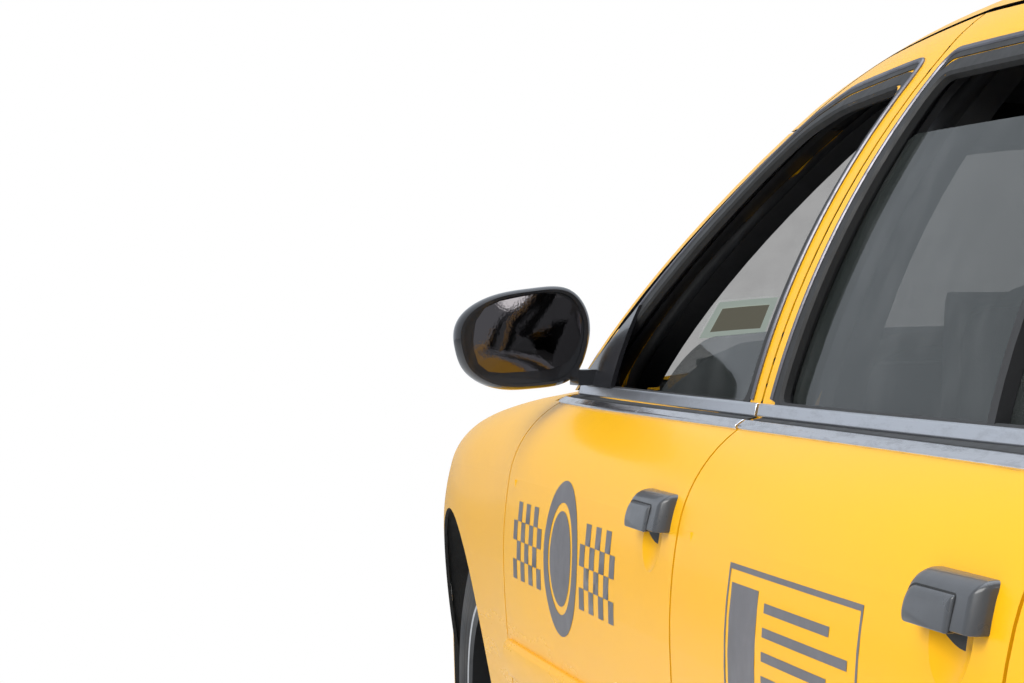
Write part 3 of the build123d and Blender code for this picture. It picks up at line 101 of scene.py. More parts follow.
class Graph:
    """Node tree of one material, with short calls for the nodes that the finishes share."""

    def __init__(self, name: str) -> None:
        """Start a material with only its shader."""
        self.material = bpy.data.materials.new(name)
        self.material.use_nodes = True
        self.tree = self.material.node_tree
        self.shader = self.tree.nodes["Principled BSDF"]

    def node(self, kind: str, **settings: object) -> bpy.types.Node:
        """Add one node.

        Args:
            kind: Blender's class name of the node.
            settings: attributes to set on it.

        Returns:
            The node.
        """
        made = self.tree.nodes.new(kind)
        for name, value in settings.items():
            setattr(made, name, value)
        return made

    def feed(self, socket: bpy.types.NodeSocket, value: object) -> None:
        """Link an output to a socket, or set the socket's own value."""
        if isinstance(value, bpy.types.NodeSocket):
            self.tree.links.new(value, socket)
        elif isinstance(value, tuple) and len(value) == 3 and socket.type == "RGBA":
            socket.default_value = (*value, 1.0)
        else:
            socket.default_value = value

    def place(self, scale: Sequence[float] = (1.0, 1.0, 1.0)) -> bpy.types.NodeSocket:
        """Object coordinates, stretched along the axes."""
        coordinates = self.node("ShaderNodeTexCoord")
        mapping = self.node("ShaderNodeMapping")
        self.feed(mapping.inputs["Vector"], coordinates.outputs["Object"])
        mapping.inputs["Scale"].default_value = scale
        return mapping.outputs["Vector"]

    def axis(self, name: str) -> bpy.types.NodeSocket:
        """One object coordinate."""
        coordinates = self.node("ShaderNodeTexCoord")
        split = self.node("ShaderNodeSeparateXYZ")
        self.feed(split.inputs[0], coordinates.outputs["Object"])
        return split.outputs[name]

    def noise(self, scale: float, detail: float = 3.0, stretch: Sequence[float] = (1.0, 1.0, 1.0),
              roughness: float = 0.5) -> bpy.types.NodeSocket:
        """Noise in object space.

        Args:
            scale: waves to the metre.
            detail: octaves.
            stretch: scale along each axis.
            roughness: weight of the fine octaves.

        Returns:
            The noise from 0 to 1.
        """
        noise = self.node("ShaderNodeTexNoise")
        self.feed(noise.inputs["Vector"], self.place(stretch))
        noise.inputs["Scale"].default_value = scale
        noise.inputs["Detail"].default_value = detail
        noise.inputs["Roughness"].default_value = roughness
        return noise.outputs["Fac"]

    def maths(self, operation: str, a: object, b: object = 0.0) -> bpy.types.NodeSocket:
        """One sum on two numbers."""
        node = self.node("ShaderNodeMath", operation=operation)
        self.feed(node.inputs[0], a)
        self.feed(node.inputs[1], b)
        return node.outputs[0]

    def times(self, a: object, b: object) -> bpy.types.NodeSocket:
        """Product of two numbers."""
        return self.maths("MULTIPLY", a, b)

    def about_axle(self, axle_x: float, axle_z: float) -> tuple[bpy.types.NodeSocket, ...]:
        """Place in a wheel's plane: along the car, up, and the radius."""
        across = self.maths("SUBTRACT", self.axis("X"), axle_x)
        up = self.maths("SUBTRACT", self.axis("Z"), axle_z)
        square = self.maths("ADD", self.times(across, across), self.times(up, up))
        return across, up, self.maths("SQRT", square)

    def spread(self, value: object, low: float, high: float, to_low: float = 0.0,
               to_high: float = 1.0) -> bpy.types.NodeSocket:
        """Map a number from one span to another, held at its ends."""
        node = self.node("ShaderNodeMapRange")
        self.feed(node.inputs["Value"], value)
        node.inputs["From Min"].default_value = low
        node.inputs["From Max"].default_value = high
        node.inputs["To Min"].default_value = to_low
        node.inputs["To Max"].default_value = to_high
        return node.outputs["Result"]

    def mix(self, share: object, first: object, second: object) -> bpy.types.NodeSocket:
        """Blend two colours by a share."""
        node = self.node("ShaderNodeMix", data_type="RGBA")
        self.feed(node.inputs["Factor"], share)
        colours = [socket for socket in node.inputs if socket.type == "RGBA"]
        self.feed(colours[0], first)
        self.feed(colours[1], second)
        return next(socket for socket in node.outputs if socket.type == "RGBA")

    def bump(self, height: object, depth: float) -> None:
        """Raise the surface by a height from 0 to 1, times depth in metres."""
        node = self.node("ShaderNodeBump")
        self.feed(node.inputs["Height"], height)
        node.inputs["Distance"].default_value = depth
        node.inputs["Strength"].default_value = 1.0
        self.feed(self.shader.inputs["Normal"], node.outputs["Normal"])

    def set(self, **values: object) -> None:
        """Set the shader's inputs by name, with underscores for spaces."""
        for name, value in values.items():
            self.feed(self.shader.inputs[name.replace("_", " ")], value)


@dataclass(frozen=True)
class Finish:
    """A plain moulded or coated surface with a fine grain, slight variation of tone and an optional glow as
    painted light.
    """

    name: str
    slot: str
    colour: Colour
    roughness: float = 0.5
    metallic: float = 0.0
    grain: float = 900.0
    grain_depth: float = 0.00003
    tone: float = 0.12
    coat: float = 0.0
    glow: float = 0.0

    def build(self) -> bpy.types.Material:
        """Make the material."""
        graph = Graph(self.name)
        dark = tuple(c * (1 - self.tone) for c in self.colour)
        blotch = graph.noise(6.0, 4.0)
        graph.set(Base_Color=graph.mix(graph.spread(blotch, 0.35, 0.65), dark, self.colour),
                  Roughness=graph.spread(graph.noise(30.0, 5.0), 0.3, 0.7, self.roughness * 0.85,
                                         min(1.0, self.roughness * 1.15)),
                  Metallic=self.metallic)
        if self.coat:
            graph.set(Coat_Weight=self.coat, Coat_Roughness=0.04)
        # Painted light: the glow lets a part that light reaches only from behind still show bright.
        if self.glow:
            graph.set(Emission_Color=(*self.colour, 1.0), Emission_Strength=self.glow)
        graph.bump(graph.noise(self.grain, 2.0), self.grain_depth)
        return graph.material


@dataclass(frozen=True)
class TaxiPaint:
    """Yellow enamel under clear coat, with painted shade in patches low down, where the finish is also
    rougher.
    """

    name: str = "taxi_paint"
    slot: str = "paint"
    yellow: Colour = (0.93, 0.475, 0.004)
    worn: Colour = (0.88, 0.43, 0.012)
    # Dull brown of the painted shade low on the body.
    dust: Colour = (0.42, 0.33, 0.22)
    shade_top: float = 0.62
    shade_foot: float = 0.28

    def build(self) -> bpy.types.Material:
        """Make the material."""
        graph = Graph(self.name)
        tone = graph.spread(graph.noise(1.6, 3.0), 0.3, 0.7)
        paint = graph.mix(graph.times(tone, 0.35), self.yellow, self.worn)
        # Painted shade: below about 0.62 m the yellow is mixed in patches towards the dull brown, most at the
        # foot.
        low = graph.spread(graph.axis("Z"), self.shade_top, self.shade_foot)
        shade_patches = graph.spread(graph.noise(9.0, 6.0, (0.35, 0.35, 1.4), 0.65), 0.42, 0.72)
        low_shade = graph.times(graph.times(low, shade_patches), 0.5)
        graph.set(Base_Color=graph.mix(low_shade, paint, self.dust), Coat_Weight=0.10, Coat_Roughness=0.05,
                  Specular_IOR_Level=0.10, Roughness=graph.maths("ADD", 0.26, graph.times(low_shade, 0.7)))
        graph.bump(graph.noise(420.0, 2.0), 0.00002)
        return graph.material


@dataclass(frozen=True)
class SteelRim:
    """Painted steel wheel: silver disc, a barrel coloured near black as painted shade, and a bright metallic
    edge, told apart by radius.
    """

    name: str
    slot: str
    axle_x: float
    axle_z: float = AXLE_Z
    disc_edge: Point2 = (0.172, 0.176)
    lip: Point2 = (0.2105, 0.2115)
    silver: Colour = (0.33, 0.33, 0.34)
    black: Colour = (0.015, 0.015, 0.016)
    bright: Colour = (0.62, 0.62, 0.63)
    rust: Colour = (0.16, 0.09, 0.05)

    def build(self) -> bpy.types.Material:
        """Make the material."""
        graph = Graph(self.name)
        _, _, radius = graph.about_axle(self.axle_x, self.axle_z)
        # Painted shade: out from the disc edge, the deep barrel is coloured near black.
        barrel_shade_share = graph.spread(radius, *self.disc_edge)
        edge = graph.spread(radius, *self.lip)
        stain = graph.times(graph.spread(graph.noise(38.0, 6.0), 0.55, 0.75), 0.35)
        disc = graph.mix(stain, self.silver, self.rust)
        colour = graph.mix(edge, graph.mix(barrel_shade_share, disc, self.black), self.bright)
        graph.set(Base_Color=colour, Metallic=graph.spread(edge, 0.0, 1.0, 0.35, 0.9),
                  Roughness=graph.spread(stain, 0.0, 0.35, 0.38, 0.62))
        graph.bump(graph.noise(260.0, 3.0), 0.00005)
        return graph.material


@dataclass(frozen=True)
class Glass:
    """Tinted or clear glass that light passes straight through."""

    name: str
    slot: str
    tint: Colour
    clear: float
    roughness: float = 0.02

    def build(self) -> bpy.types.Material:
        """Make the material."""
        graph = Graph(self.name)
        smear = graph.spread(graph.noise(14.0, 6.0, (1.0, 1.0, 0.4), 0.7), 0.45, 0.8)
        tone = tuple(min(1.0, c + 0.15) for c in self.tint)
        graph.set(Base_Color=graph.mix(graph.times(smear, 0.3), self.tint, tone),
                  Roughness=graph.maths("ADD", self.roughness, graph.times(smear, 0.05)),
                  IOR=1.45, Alpha=graph.maths("SUBTRACT", 1.0 - self.clear, graph.times(smear, -0.05)),
                  Specular_IOR_Level=0.8)
        return graph.material


@dataclass(frozen=True)
class WornChrome:
    """Bright metal with fine scratches along its length and dull spots."""

    name: str = "worn_chrome"
    slot: str = "chrome"
    bright: Colour = (0.78, 0.79, 0.82)
    dull: Colour = (0.30, 0.30, 0.31)
    wear: float = 0.5
    base_roughness: float = 0.16

    def build(self) -> bpy.types.Material:
        """Make the material."""
        graph = Graph(self.name)
        spots = graph.spread(graph.noise(70.0, 8.0, (0.25, 1.0, 1.0), 0.75), 0.5, 0.72)
        scratch = graph.noise(260.0, 4.0, (0.04, 1.0, 1.0))
        share = graph.times(spots, self.wear)
        graph.set(Base_Color=graph.mix(share, self.bright, self.dull), Metallic=1.0,
                  Roughness=graph.maths("ADD", self.base_roughness, graph.times(share, 0.35)))
        graph.bump(scratch, 0.00004)
        return graph.material


@dataclass(frozen=True)
class TyreRubber:
    """Black rubber: tread blocks on the running face with painted shade in the grooves, fine rings on the
    walls.
    """

    name: str
    slot: str
    axle_x: float
    axle_z: float = AXLE_Z
    tread_from: float = 0.318
    colour: Colour = (0.022, 0.022, 0.023)
    dust: Colour = (0.11, 0.10, 0.09)
    groove_black: Colour = (0.006, 0.006, 0.006)
    blocks: float = 64.0
    rib_width: float = 0.038
    ring_width: float = 0.009

    def build(self) -> bpy.types.Material:
        """Make the material."""
        graph = Graph(self.name)
        x, z, radius = graph.about_axle(self.axle_x, self.axle_z)
        angle = graph.maths("ARCTAN2", z, x)
        across = graph.axis("Y")
        running = graph.spread(radius, self.tread_from, self.tread_from + 0.006)
        wave = graph.maths("SINE", graph.times(across, 140.0))
        slant = graph.maths("ADD", graph.times(angle, self.blocks), graph.times(wave, 1.1))
        groove = graph.spread(graph.maths("SINE", slant), -0.75, -0.55)
        rib_wave = graph.maths("SINE", graph.times(across, 2 * math.pi / self.rib_width))
        ribs = graph.spread(rib_wave, -0.72, -0.5)
        tread = graph.times(groove, ribs)
        rings = graph.times(graph.maths("SINE", graph.times(radius, 2 * math.pi / self.ring_width)), 0.05)
        wall = graph.maths("ADD", 0.6, rings)
        flat = graph.times(wall, graph.maths("SUBTRACT", 1.0, running))
        height = graph.maths("ADD", graph.times(tread, running), flat)
        worn = graph.times(graph.spread(graph.noise(11.0, 5.0), 0.4, 0.7), 0.4)
        # Painted shade: the tread grooves are coloured near black, and the blocks are half dust.
        dark = graph.mix(running, graph.mix(worn, self.colour, self.dust),
                         graph.mix(graph.times(tread, 0.5), self.groove_black, self.dust))
        graph.set(Base_Color=dark, Roughness=graph.spread(running, 0.0, 1.0, 0.62, 0.85))
        graph.bump(height, 0.004)
        return graph.material


@dataclass(frozen=True)
class SeatVinyl:
    """Black vinyl with a pebble grain and a soft sheen."""

    name: str = "seat_vinyl"
    slot: str = "seat_vinyl"
    colour: Colour = (0.02, 0.02, 0.022)
    wear: Colour = (0.06, 0.058, 0.056)

    def build(self) -> bpy.types.Material:
        """Make the material."""
        graph = Graph(self.name)
        pebble = graph.node("ShaderNodeTexVoronoi", feature="F1")
        graph.feed(pebble.inputs["Vector"], graph.place())
        pebble.inputs["Scale"].default_value = 520.0
        rubbed = graph.spread(graph.noise(5.0, 4.0), 0.5, 0.75)
        graph.set(Base_Color=graph.mix(graph.times(rubbed, 0.6), self.colour, self.wear),
                  Roughness=graph.spread(rubbed, 0.0, 1.0, 0.5, 0.34), Specular_IOR_Level=0.4)
        graph.bump(pebble.outputs["Distance"], 0.0003)
        return graph.material


class Palette:
    """Every finish, made once and handed out by name."""

    def __init__(self) -> None:
        """Write down the finishes; each material is made when first asked for."""
        self.finishes: dict[str, object] = {}
        self.made: dict[str, bpy.types.Material] = {}
        for finish in (
            TaxiPaint(),
            SteelRim("rim_front", "wheel_steel", FRONT_AXLE_X),
            SteelRim("rim_rear", "wheel_steel", REAR_AXLE_X),
            Finish("cab_trim", "dash_plastic", (0.02, 0.02, 0.021), 0.6, grain=420.0, grain_depth=0.00015),
            Finish("lining_cloth", "dash_plastic", (0.05, 0.05, 0.052), 0.9, grain=900.0, grain_depth=0.0003),
            Finish("carpet", "dash_plastic", (0.018, 0.018, 0.019), 0.95, grain=600.0, grain_depth=0.001),
            Finish("satin_black", "frame_black", (0.02, 0.02, 0.021), 0.55, tone=0.3),
            Finish("underseal", "frame_black", (0.028, 0.027, 0.026), 0.8,
                   grain=240.0, grain_depth=0.0006, tone=0.3),
            Finish("gloss_black", "black_plastic", (0.012, 0.012, 0.014), 0.16,
                   coat=0.4, grain_depth=0.00001),
            Finish("grained_black", "black_plastic", (0.02, 0.02, 0.021), 0.5,
                   grain=700.0, grain_depth=0.00008),
            Finish("seal_rubber", "black_plastic", (0.012, 0.012, 0.012), 0.62,
                   grain=500.0, grain_depth=0.00004),
            Finish("handle_plastic", "black_plastic", (0.05, 0.053, 0.058), 0.3,
                   coat=0.35, grain_depth=0.00001),
            Finish("dash_plastic", "dash_plastic", (0.022, 0.022, 0.024), 0.55,
                   grain=420.0, grain_depth=0.00018),
            Finish("mark_grey", "black_plastic", (0.13, 0.125, 0.135), 0.42, tone=0.18),
            Finish("white_plastic", "light_plastic", (0.62, 0.64, 0.6), 0.5, tone=0.1),
            # Painted light: the windscreen sticker glows as if lit through the glass.
            Finish("sticker_edge", "light_plastic", (0.50, 0.58, 0.52), 0.6, tone=0.15, glow=0.55),
            Finish("sticker_field", "light_plastic", (0.23, 0.22, 0.17), 0.6, tone=0.15, glow=0.45),
            Finish("light_cover", "light_plastic", (0.72, 0.69, 0.6), 0.25, coat=0.3),
            Finish("cast_metal", "cast_metal", (0.16, 0.155, 0.15), 0.6, 0.8,
                   grain=160.0, grain_depth=0.0004, tone=0.35),
            Finish("exhaust_steel", "exhaust_steel", (0.30, 0.27, 0.24), 0.45, 0.9,
                   grain=120.0, grain_depth=0.0001, tone=0.35),
            Finish("rim_silver", "wheel_steel", (0.42, 0.42, 0.43), 0.36, 0.85, tone=0.25, grain=300.0),
            Finish("lamp_red", "lamp_red", (0.42, 0.008, 0.008), 0.12, coat=0.6, grain_depth=0.00002),
            Finish("lamp_amber", "lamp_red", (0.75, 0.22, 0.01), 0.14, coat=0.6),
            Glass("door_glass", "glass", (0.03, 0.036, 0.034), 0.42),
            Glass("screen_glass", "glass", (0.05, 0.06, 0.056), 0.6),
            Glass("lamp_glass", "lamp_clear", (0.50, 0.52, 0.55), 0.72),
            WornChrome(),
            WornChrome("brushed_ledge", bright=(0.72, 0.74, 0.78), wear=0.35, base_roughness=0.3),
            WornChrome("dull_strip", bright=(0.17, 0.165, 0.185), dull=(0.09, 0.09, 0.10),
                       base_roughness=0.3),
            WornChrome("mirror_face", "chrome", (0.11, 0.10, 0.10), (0.08, 0.08, 0.08), 0.05, 0.015),
            SeatVinyl(),
        ):
            self.finishes[finish.name] = finish
        for corner in Corner:
            self.finishes[f"tyre_{corner.word}"] = TyreRubber(f"tyre_{corner.word}", "tyre", corner.value[1])

    def material(self, key: str) -> bpy.types.Material:
        """Material of a finish."""
        if key not in self.made:
            self.made[key] = self.finishes[key].build()
        return self.made[key]

    def slot(self, key: str) -> str:
        """Slot name of a finish."""
        return self.finishes[key].slot


def bvh_of(objects: Iterable[bpy.types.Object]) -> BVHTree:
    """Search tree over the faces of several objects at rest."""
    vertices: list[Vector] = []
    faces: list[tuple[int, ...]] = []
    for obj in objects:
        start = len(vertices)
        vertices.extend(vertex.co.copy() for vertex in obj.data.vertices)
        faces.extend(tuple(start + index for index in polygon.vertices) for polygon in obj.data.polygons)
    return BVHTree.FromPolygons(vertices, faces)


class BodySkin:
    """The outer face of one side of the body, found by looking straight in from the side."""

    def __init__(self, nodes: dict[str, bpy.types.Object], side: Side) -> None:
        """Gather that side's outer panels."""
        self.side = side
        panels = ("body_side", "fender", "door_front", "door_rear")
        self.tree = bvh_of(nodes[f"{name}_{side.word}"] for name in panels)

    def point(self, x: float, z: float) -> tuple[Vector, Vector]:
        """The outermost point of the skin at a place in side view.

        Args:
            x: place along the car.
            z: height.

        Returns:
            The point and the outward normal; a missed cast gives the nearest point.
        """
        sign = self.side.value
        start = Vector((x, sign * 1.4, z))
        hit, normal, _, _ = self.tree.ray_cast(start, Vector((0.0, -sign, 0.0)), 0.9)
        if hit is None or abs(hit.y) < 0.5:
            hit, normal, _, _ = self.tree.find_nearest(Vector((x, sign * 0.93, z)))
        if normal.y * sign < 0:
            normal = -normal
        return hit, normal

    def line(self, points: Sequence[Point2], step: float = 0.012) -> tuple[list[Vector], list[Vector]]:
        """Lay a side-view line onto the skin.

        Args:
            points: corners of the line as (x, z).
            step: distance between the laid points.

        Returns:
            The points and the normals, with the normals smoothed along the line.
        """
        laid: list[Vector] = []
        outs: list[Vector] = []
        for (x0, z0), (x1, z1) in zip(points, points[1:]):
            count = max(1, int(math.hypot(x1 - x0, z1 - z0) / step))
            for index in range(count):
                share = index / count
                hit, normal = self.point(x0 + (x1 - x0) * share, z0 + (z1 - z0) * share)
                laid.append(hit)
                outs.append(normal)
        hit, normal = self.point(*points[-1])
        laid.append(hit)
        outs.append(normal)
        smooth: list[Vector] = []
        for index in range(len(outs)):
            window = outs[max(0, index - 4):index + 5]
            smooth.append(sum(window, Vector()).normalized())
        return laid, smooth


class Draft:
    """Loose vertices and faces that become one object."""

    def __init__(self, name: str) -> None:
        """Start an empty mesh."""
        self.name = name
        self.vertices: list[Vector] = []
        self.faces: list[tuple[int, ...]] = []

    def add(self, vertices: Iterable[Vector], faces: Iterable[Sequence[int]]) -> None:
        """Add vertices, and faces numbered from the first of them."""
        start = len(self.vertices)
        self.vertices.extend(vertices)
        self.faces.extend(tuple(start + index for index in face) for face in faces)

    def sweep(self, path: Sequence[Vector], outs: Sequence[Vector], section: Sequence[Point2],
              loop: bool = False) -> None:
        """Carry a closed section along a line that lies on a surface.

        Args:
            path: points of the line.
            outs: outward normal at each point.
            section: closed outline as (across, outward); across is to the left, seen from outside.
            loop: the line ends where it starts.
        """
        count = len(path)
        rings: list[list[Vector]] = []
        for index, place in enumerate(path):
            ahead = path[(index + 1) % count] if loop else path[min(index + 1, count - 1)]
            behind = path[index - 1] if loop or index else path[0]
            way = (ahead - behind).normalized()
            out = (outs[index] - way * outs[index].dot(way)).normalized()
            across = out.cross(way)
            rings.append([place + across * a + out * b for a, b in section])
        width = len(section)
        faces: list[tuple[int, ...]] = []
        for ring in range(count if loop else count - 1):
            after = (ring + 1) % count
            for index in range(width):
                right = (index + 1) % width
                faces.append((ring * width + index, ring * width + right, after * width + right,
                              after * width + index))
        if not loop:
            faces.append(tuple(range(width))[::-1])
            faces.append(tuple((count - 1) * width + index for index in range(width)))
        self.add([point for ring in rings for point in ring], faces)

    def turned(self, axis_point: Vector, axis: Vector, profile: Sequence[Point2], segments: int,
               closed: bool = True) -> None:
        """Turn a profile of (radius, distance along the axis) about an axis.

        Args:
            axis_point: a point on the axis, from which distances are counted.
            axis: direction of the axis.
            profile: outline of the section.
            segments: number of steps round.
            closed: the profile is a closed loop.
        """
        along = axis.normalized()
        first = along.orthogonal().normalized()
        second = along.cross(first)
        points: list[Vector] = []
        for step in range(segments):
            turn = 2 * math.pi * step / segments
            spoke = first * math.cos(turn) + second * math.sin(turn)
            points.extend(axis_point + spoke * radius + along * distance for radius, distance in profile)
        width = len(profile)
        faces: list[tuple[int, ...]] = []
        for step in range(segments):
            after = (step + 1) % segments
            for index in range(width if closed else width - 1):
                right = (index + 1) % width
                faces.append((step * width + index, after * width + index, after * width + right,
                              step * width + right))
        self.add(points, faces)

    def grid(self, rows: Sequence[Sequence[Vector]], close_rows: bool = False) -> None:
        """Skin a net of points, given as rows of equal length."""
        width = len(rows[0])
        faces: list[tuple[int, ...]] = []
        for row in range(len(rows) - 1):
            for index in range(width if close_rows else width - 1):
                right = (index + 1) % width
                faces.append((row * width + index, row * width + right, (row + 1) * width + right,
                              (row + 1) * width + index))
        self.add([point for row in rows for point in row], faces)

    def bowl(self, rows: Sequence[Sequence[Vector]]) -> None:
        """Skin a net of closed rings and shut it at its last ring."""
        self.grid(rows, close_rows=True)
        width = len(rows[0])
        self.faces.append(tuple((len(rows) - 1) * width + index for index in range(width)))

    def block(self, span: Sequence[float]) -> None:
        """Box from its six limits."""
        x0, x1, y0, y1, z0, z1 = span
        corners = [Vector((x, y, z)) for x in (x0, x1) for y in (y0, y1) for z in (z0, z1)]
        self.add(corners, ((0, 1, 3, 2), (4, 6, 7, 5), (0, 4, 5, 1), (2, 3, 7, 6), (0, 2, 6, 4),
                           (1, 5, 7, 3)))

    def finish(self, palette: Palette, key: str, body: str, smooth_angle: float = 35.0, bevel: float = 0.0,
               subdivide: int = 0, slot: str | None = None) -> bpy.types.Object:
        """Make the object, dress it and set it on its CAD body.

        Args:
            palette: the finishes.
            key: finish of the piece.
            body: CAD body that carries it.
            smooth_angle: edges sharper than this stay sharp, in degrees.
            bevel: width of the rounding on sharp edges.
            subdivide: levels of subdivision surface.
            slot: a slot name in place of the finish's own; not used.

        Returns:
            The object.
        """
        mesh = bpy.data.meshes.new(self.name)
        mesh.from_pydata([tuple(vertex) for vertex in self.vertices], [], self.faces)
        work = bmesh.new()
        work.from_mesh(mesh)
        bmesh.ops.remove_doubles(work, verts=work.verts, dist=1e-6)
        bmesh.ops.recalc_face_normals(work, faces=work.faces)
        work.to_mesh(mesh)
        work.free()
        obj = bpy.data.objects.new(self.name, mesh)
        bpy.context.scene.collection.objects.link(obj)
        mesh.materials.append(palette.material(key))
        for polygon in mesh.polygons:
            polygon.use_smooth = True
        if bevel:
            rounding = obj.modifiers.new("rounding", "BEVEL")
            rounding.width = bevel
            rounding.segments = 2
            rounding.limit_method = "ANGLE"
            rounding.angle_limit = math.radians(smooth_angle)
            rounding.harden_normals = False
        if subdivide:
            soft = obj.modifiers.new("soft", "SUBSURF")
            soft.levels = subdivide
            soft.render_levels = subdivide
        else:
            mesh.set_sharp_from_angle(angle=math.radians(smooth_angle))
        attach(obj, body)
        slot or palette.slot(key)
        log.info("%s: %d faces on %s", self.name, len(mesh.polygons), body)
        return obj


def rounded_section(half: float, low: float, high: float, corner: float = 0.3) -> list[Point2]:
    """Section of a strip with its outer corners taken off."""
    cut = (high - low) * corner
    return [(-half, low), (half, low), (half, high - cut), (half - cut, high), (-half + cut, high),
            (-half, high - cut)]


def arc_points(centre: Point2, radius: float, start: float, end: float, count: int) -> list[Point2]:
    """Points on an arc, with the angles in degrees."""
    return [(centre[0] + radius * math.cos(math.radians(start + (end - start) * index / (count - 1))),
             centre[1] + radius * math.sin(math.radians(start + (end - start) * index / (count - 1))))
            for index in range(count)]


def curve(start: Vector, corner: Vector, end: Vector, steps: int) -> list[Point2]:
    """Points on the short curve that cuts a corner."""
    points: list[Point2] = []
    for step in range(steps):
        share = step / (steps - 1)
        bend = start * (1 - share) ** 2 + corner * 2 * share * (1 - share) + end * share ** 2
        points.append((bend.x, bend.y))
    return points


def rounded_outline(corners: Sequence[Point2], radius: float, steps: int = 5) -> list[Point2]:
    """Closed outline with each corner turned into a short curve.

    Args:
        corners: the corners in order.
        radius: how far before a corner the curve starts.
        steps: points on each curve.

    Returns:
        The outline's points.
    """
    points: list[Point2] = []
    count = len(corners)
    for index, corner in enumerate(corners):
        here = Vector(corner)
        before = Vector(corners[index - 1]) - here
        after = Vector(corners[(index + 1) % count]) - here
        start = here + before.normalized() * min(radius, before.length * 0.45)
        end = here + after.normalized() * min(radius, after.length * 0.45)
        points.extend(curve(start, here, end, steps))
    return points


def offset_outline(corners: Sequence[Point2], amount: float) -> list[Point2]:
    """Closed outline moved outward by an amount, or inward if it is negative."""
    count = len(corners)
    area = sum(corners[i][0] * corners[(i + 1) % count][1] - corners[(i + 1) % count][0] * corners[i][1]
               for i in range(count))
    turn = 1.0 if area > 0 else -1.0
    moved: list[Point2] = []
    for index, corner in enumerate(corners):
        here = Vector(corner)
        first = (here - Vector(corners[index - 1])).normalized()
        second = (Vector(corners[(index + 1) % count]) - here).normalized()
        normal_a = Vector((first.y, -first.x)) * turn
        normal_b = Vector((second.y, -second.x)) * turn
        bisector = (normal_a + normal_b).normalized()
        reach = amount / max(0.35, bisector.dot(normal_a))
        moved.append((here.x + bisector.x * reach, here.y + bisector.y * reach))
    return moved


@dataclass
class DoorLines:
    """Side-view lines of one door that its trim follows."""

    name: str
    window: tuple[Point2, ...]
    front_x: float
    rear_x: float
    handle: Point2
    frame_strip: tuple[Point2, ...]


FRONT_DOOR = DoorLines(
    "front",
    ((0.916, 0.956), (0.412, 1.270), (0.330, 1.309), (0.200, 1.330), (-0.077, 1.338), (-0.003, 0.956)),
    1.014, -0.0590, (0.055, 0.828),
    ((0.944, 0.962), (0.424, 1.297), (0.345, 1.335), (0.215, 1.358), (-0.0945, 1.366), (-0.0285, 0.962)),
)
REAR_DOOR = DoorLines(
    "rear",
    ((-0.135, 0.958), (-0.205, 1.336), (-0.640, 1.330), (-0.838, 1.296), (-1.062, 0.958)),
    -0.0670, -1.118, (-0.982, 0.824),
    ((-0.1095, 0.964), (-0.1855, 1.364), (-0.645, 1.357), (-0.845, 1.316), (-1.080, 0.964)),
)
DOORS = (FRONT_DOOR, REAR_DOOR)


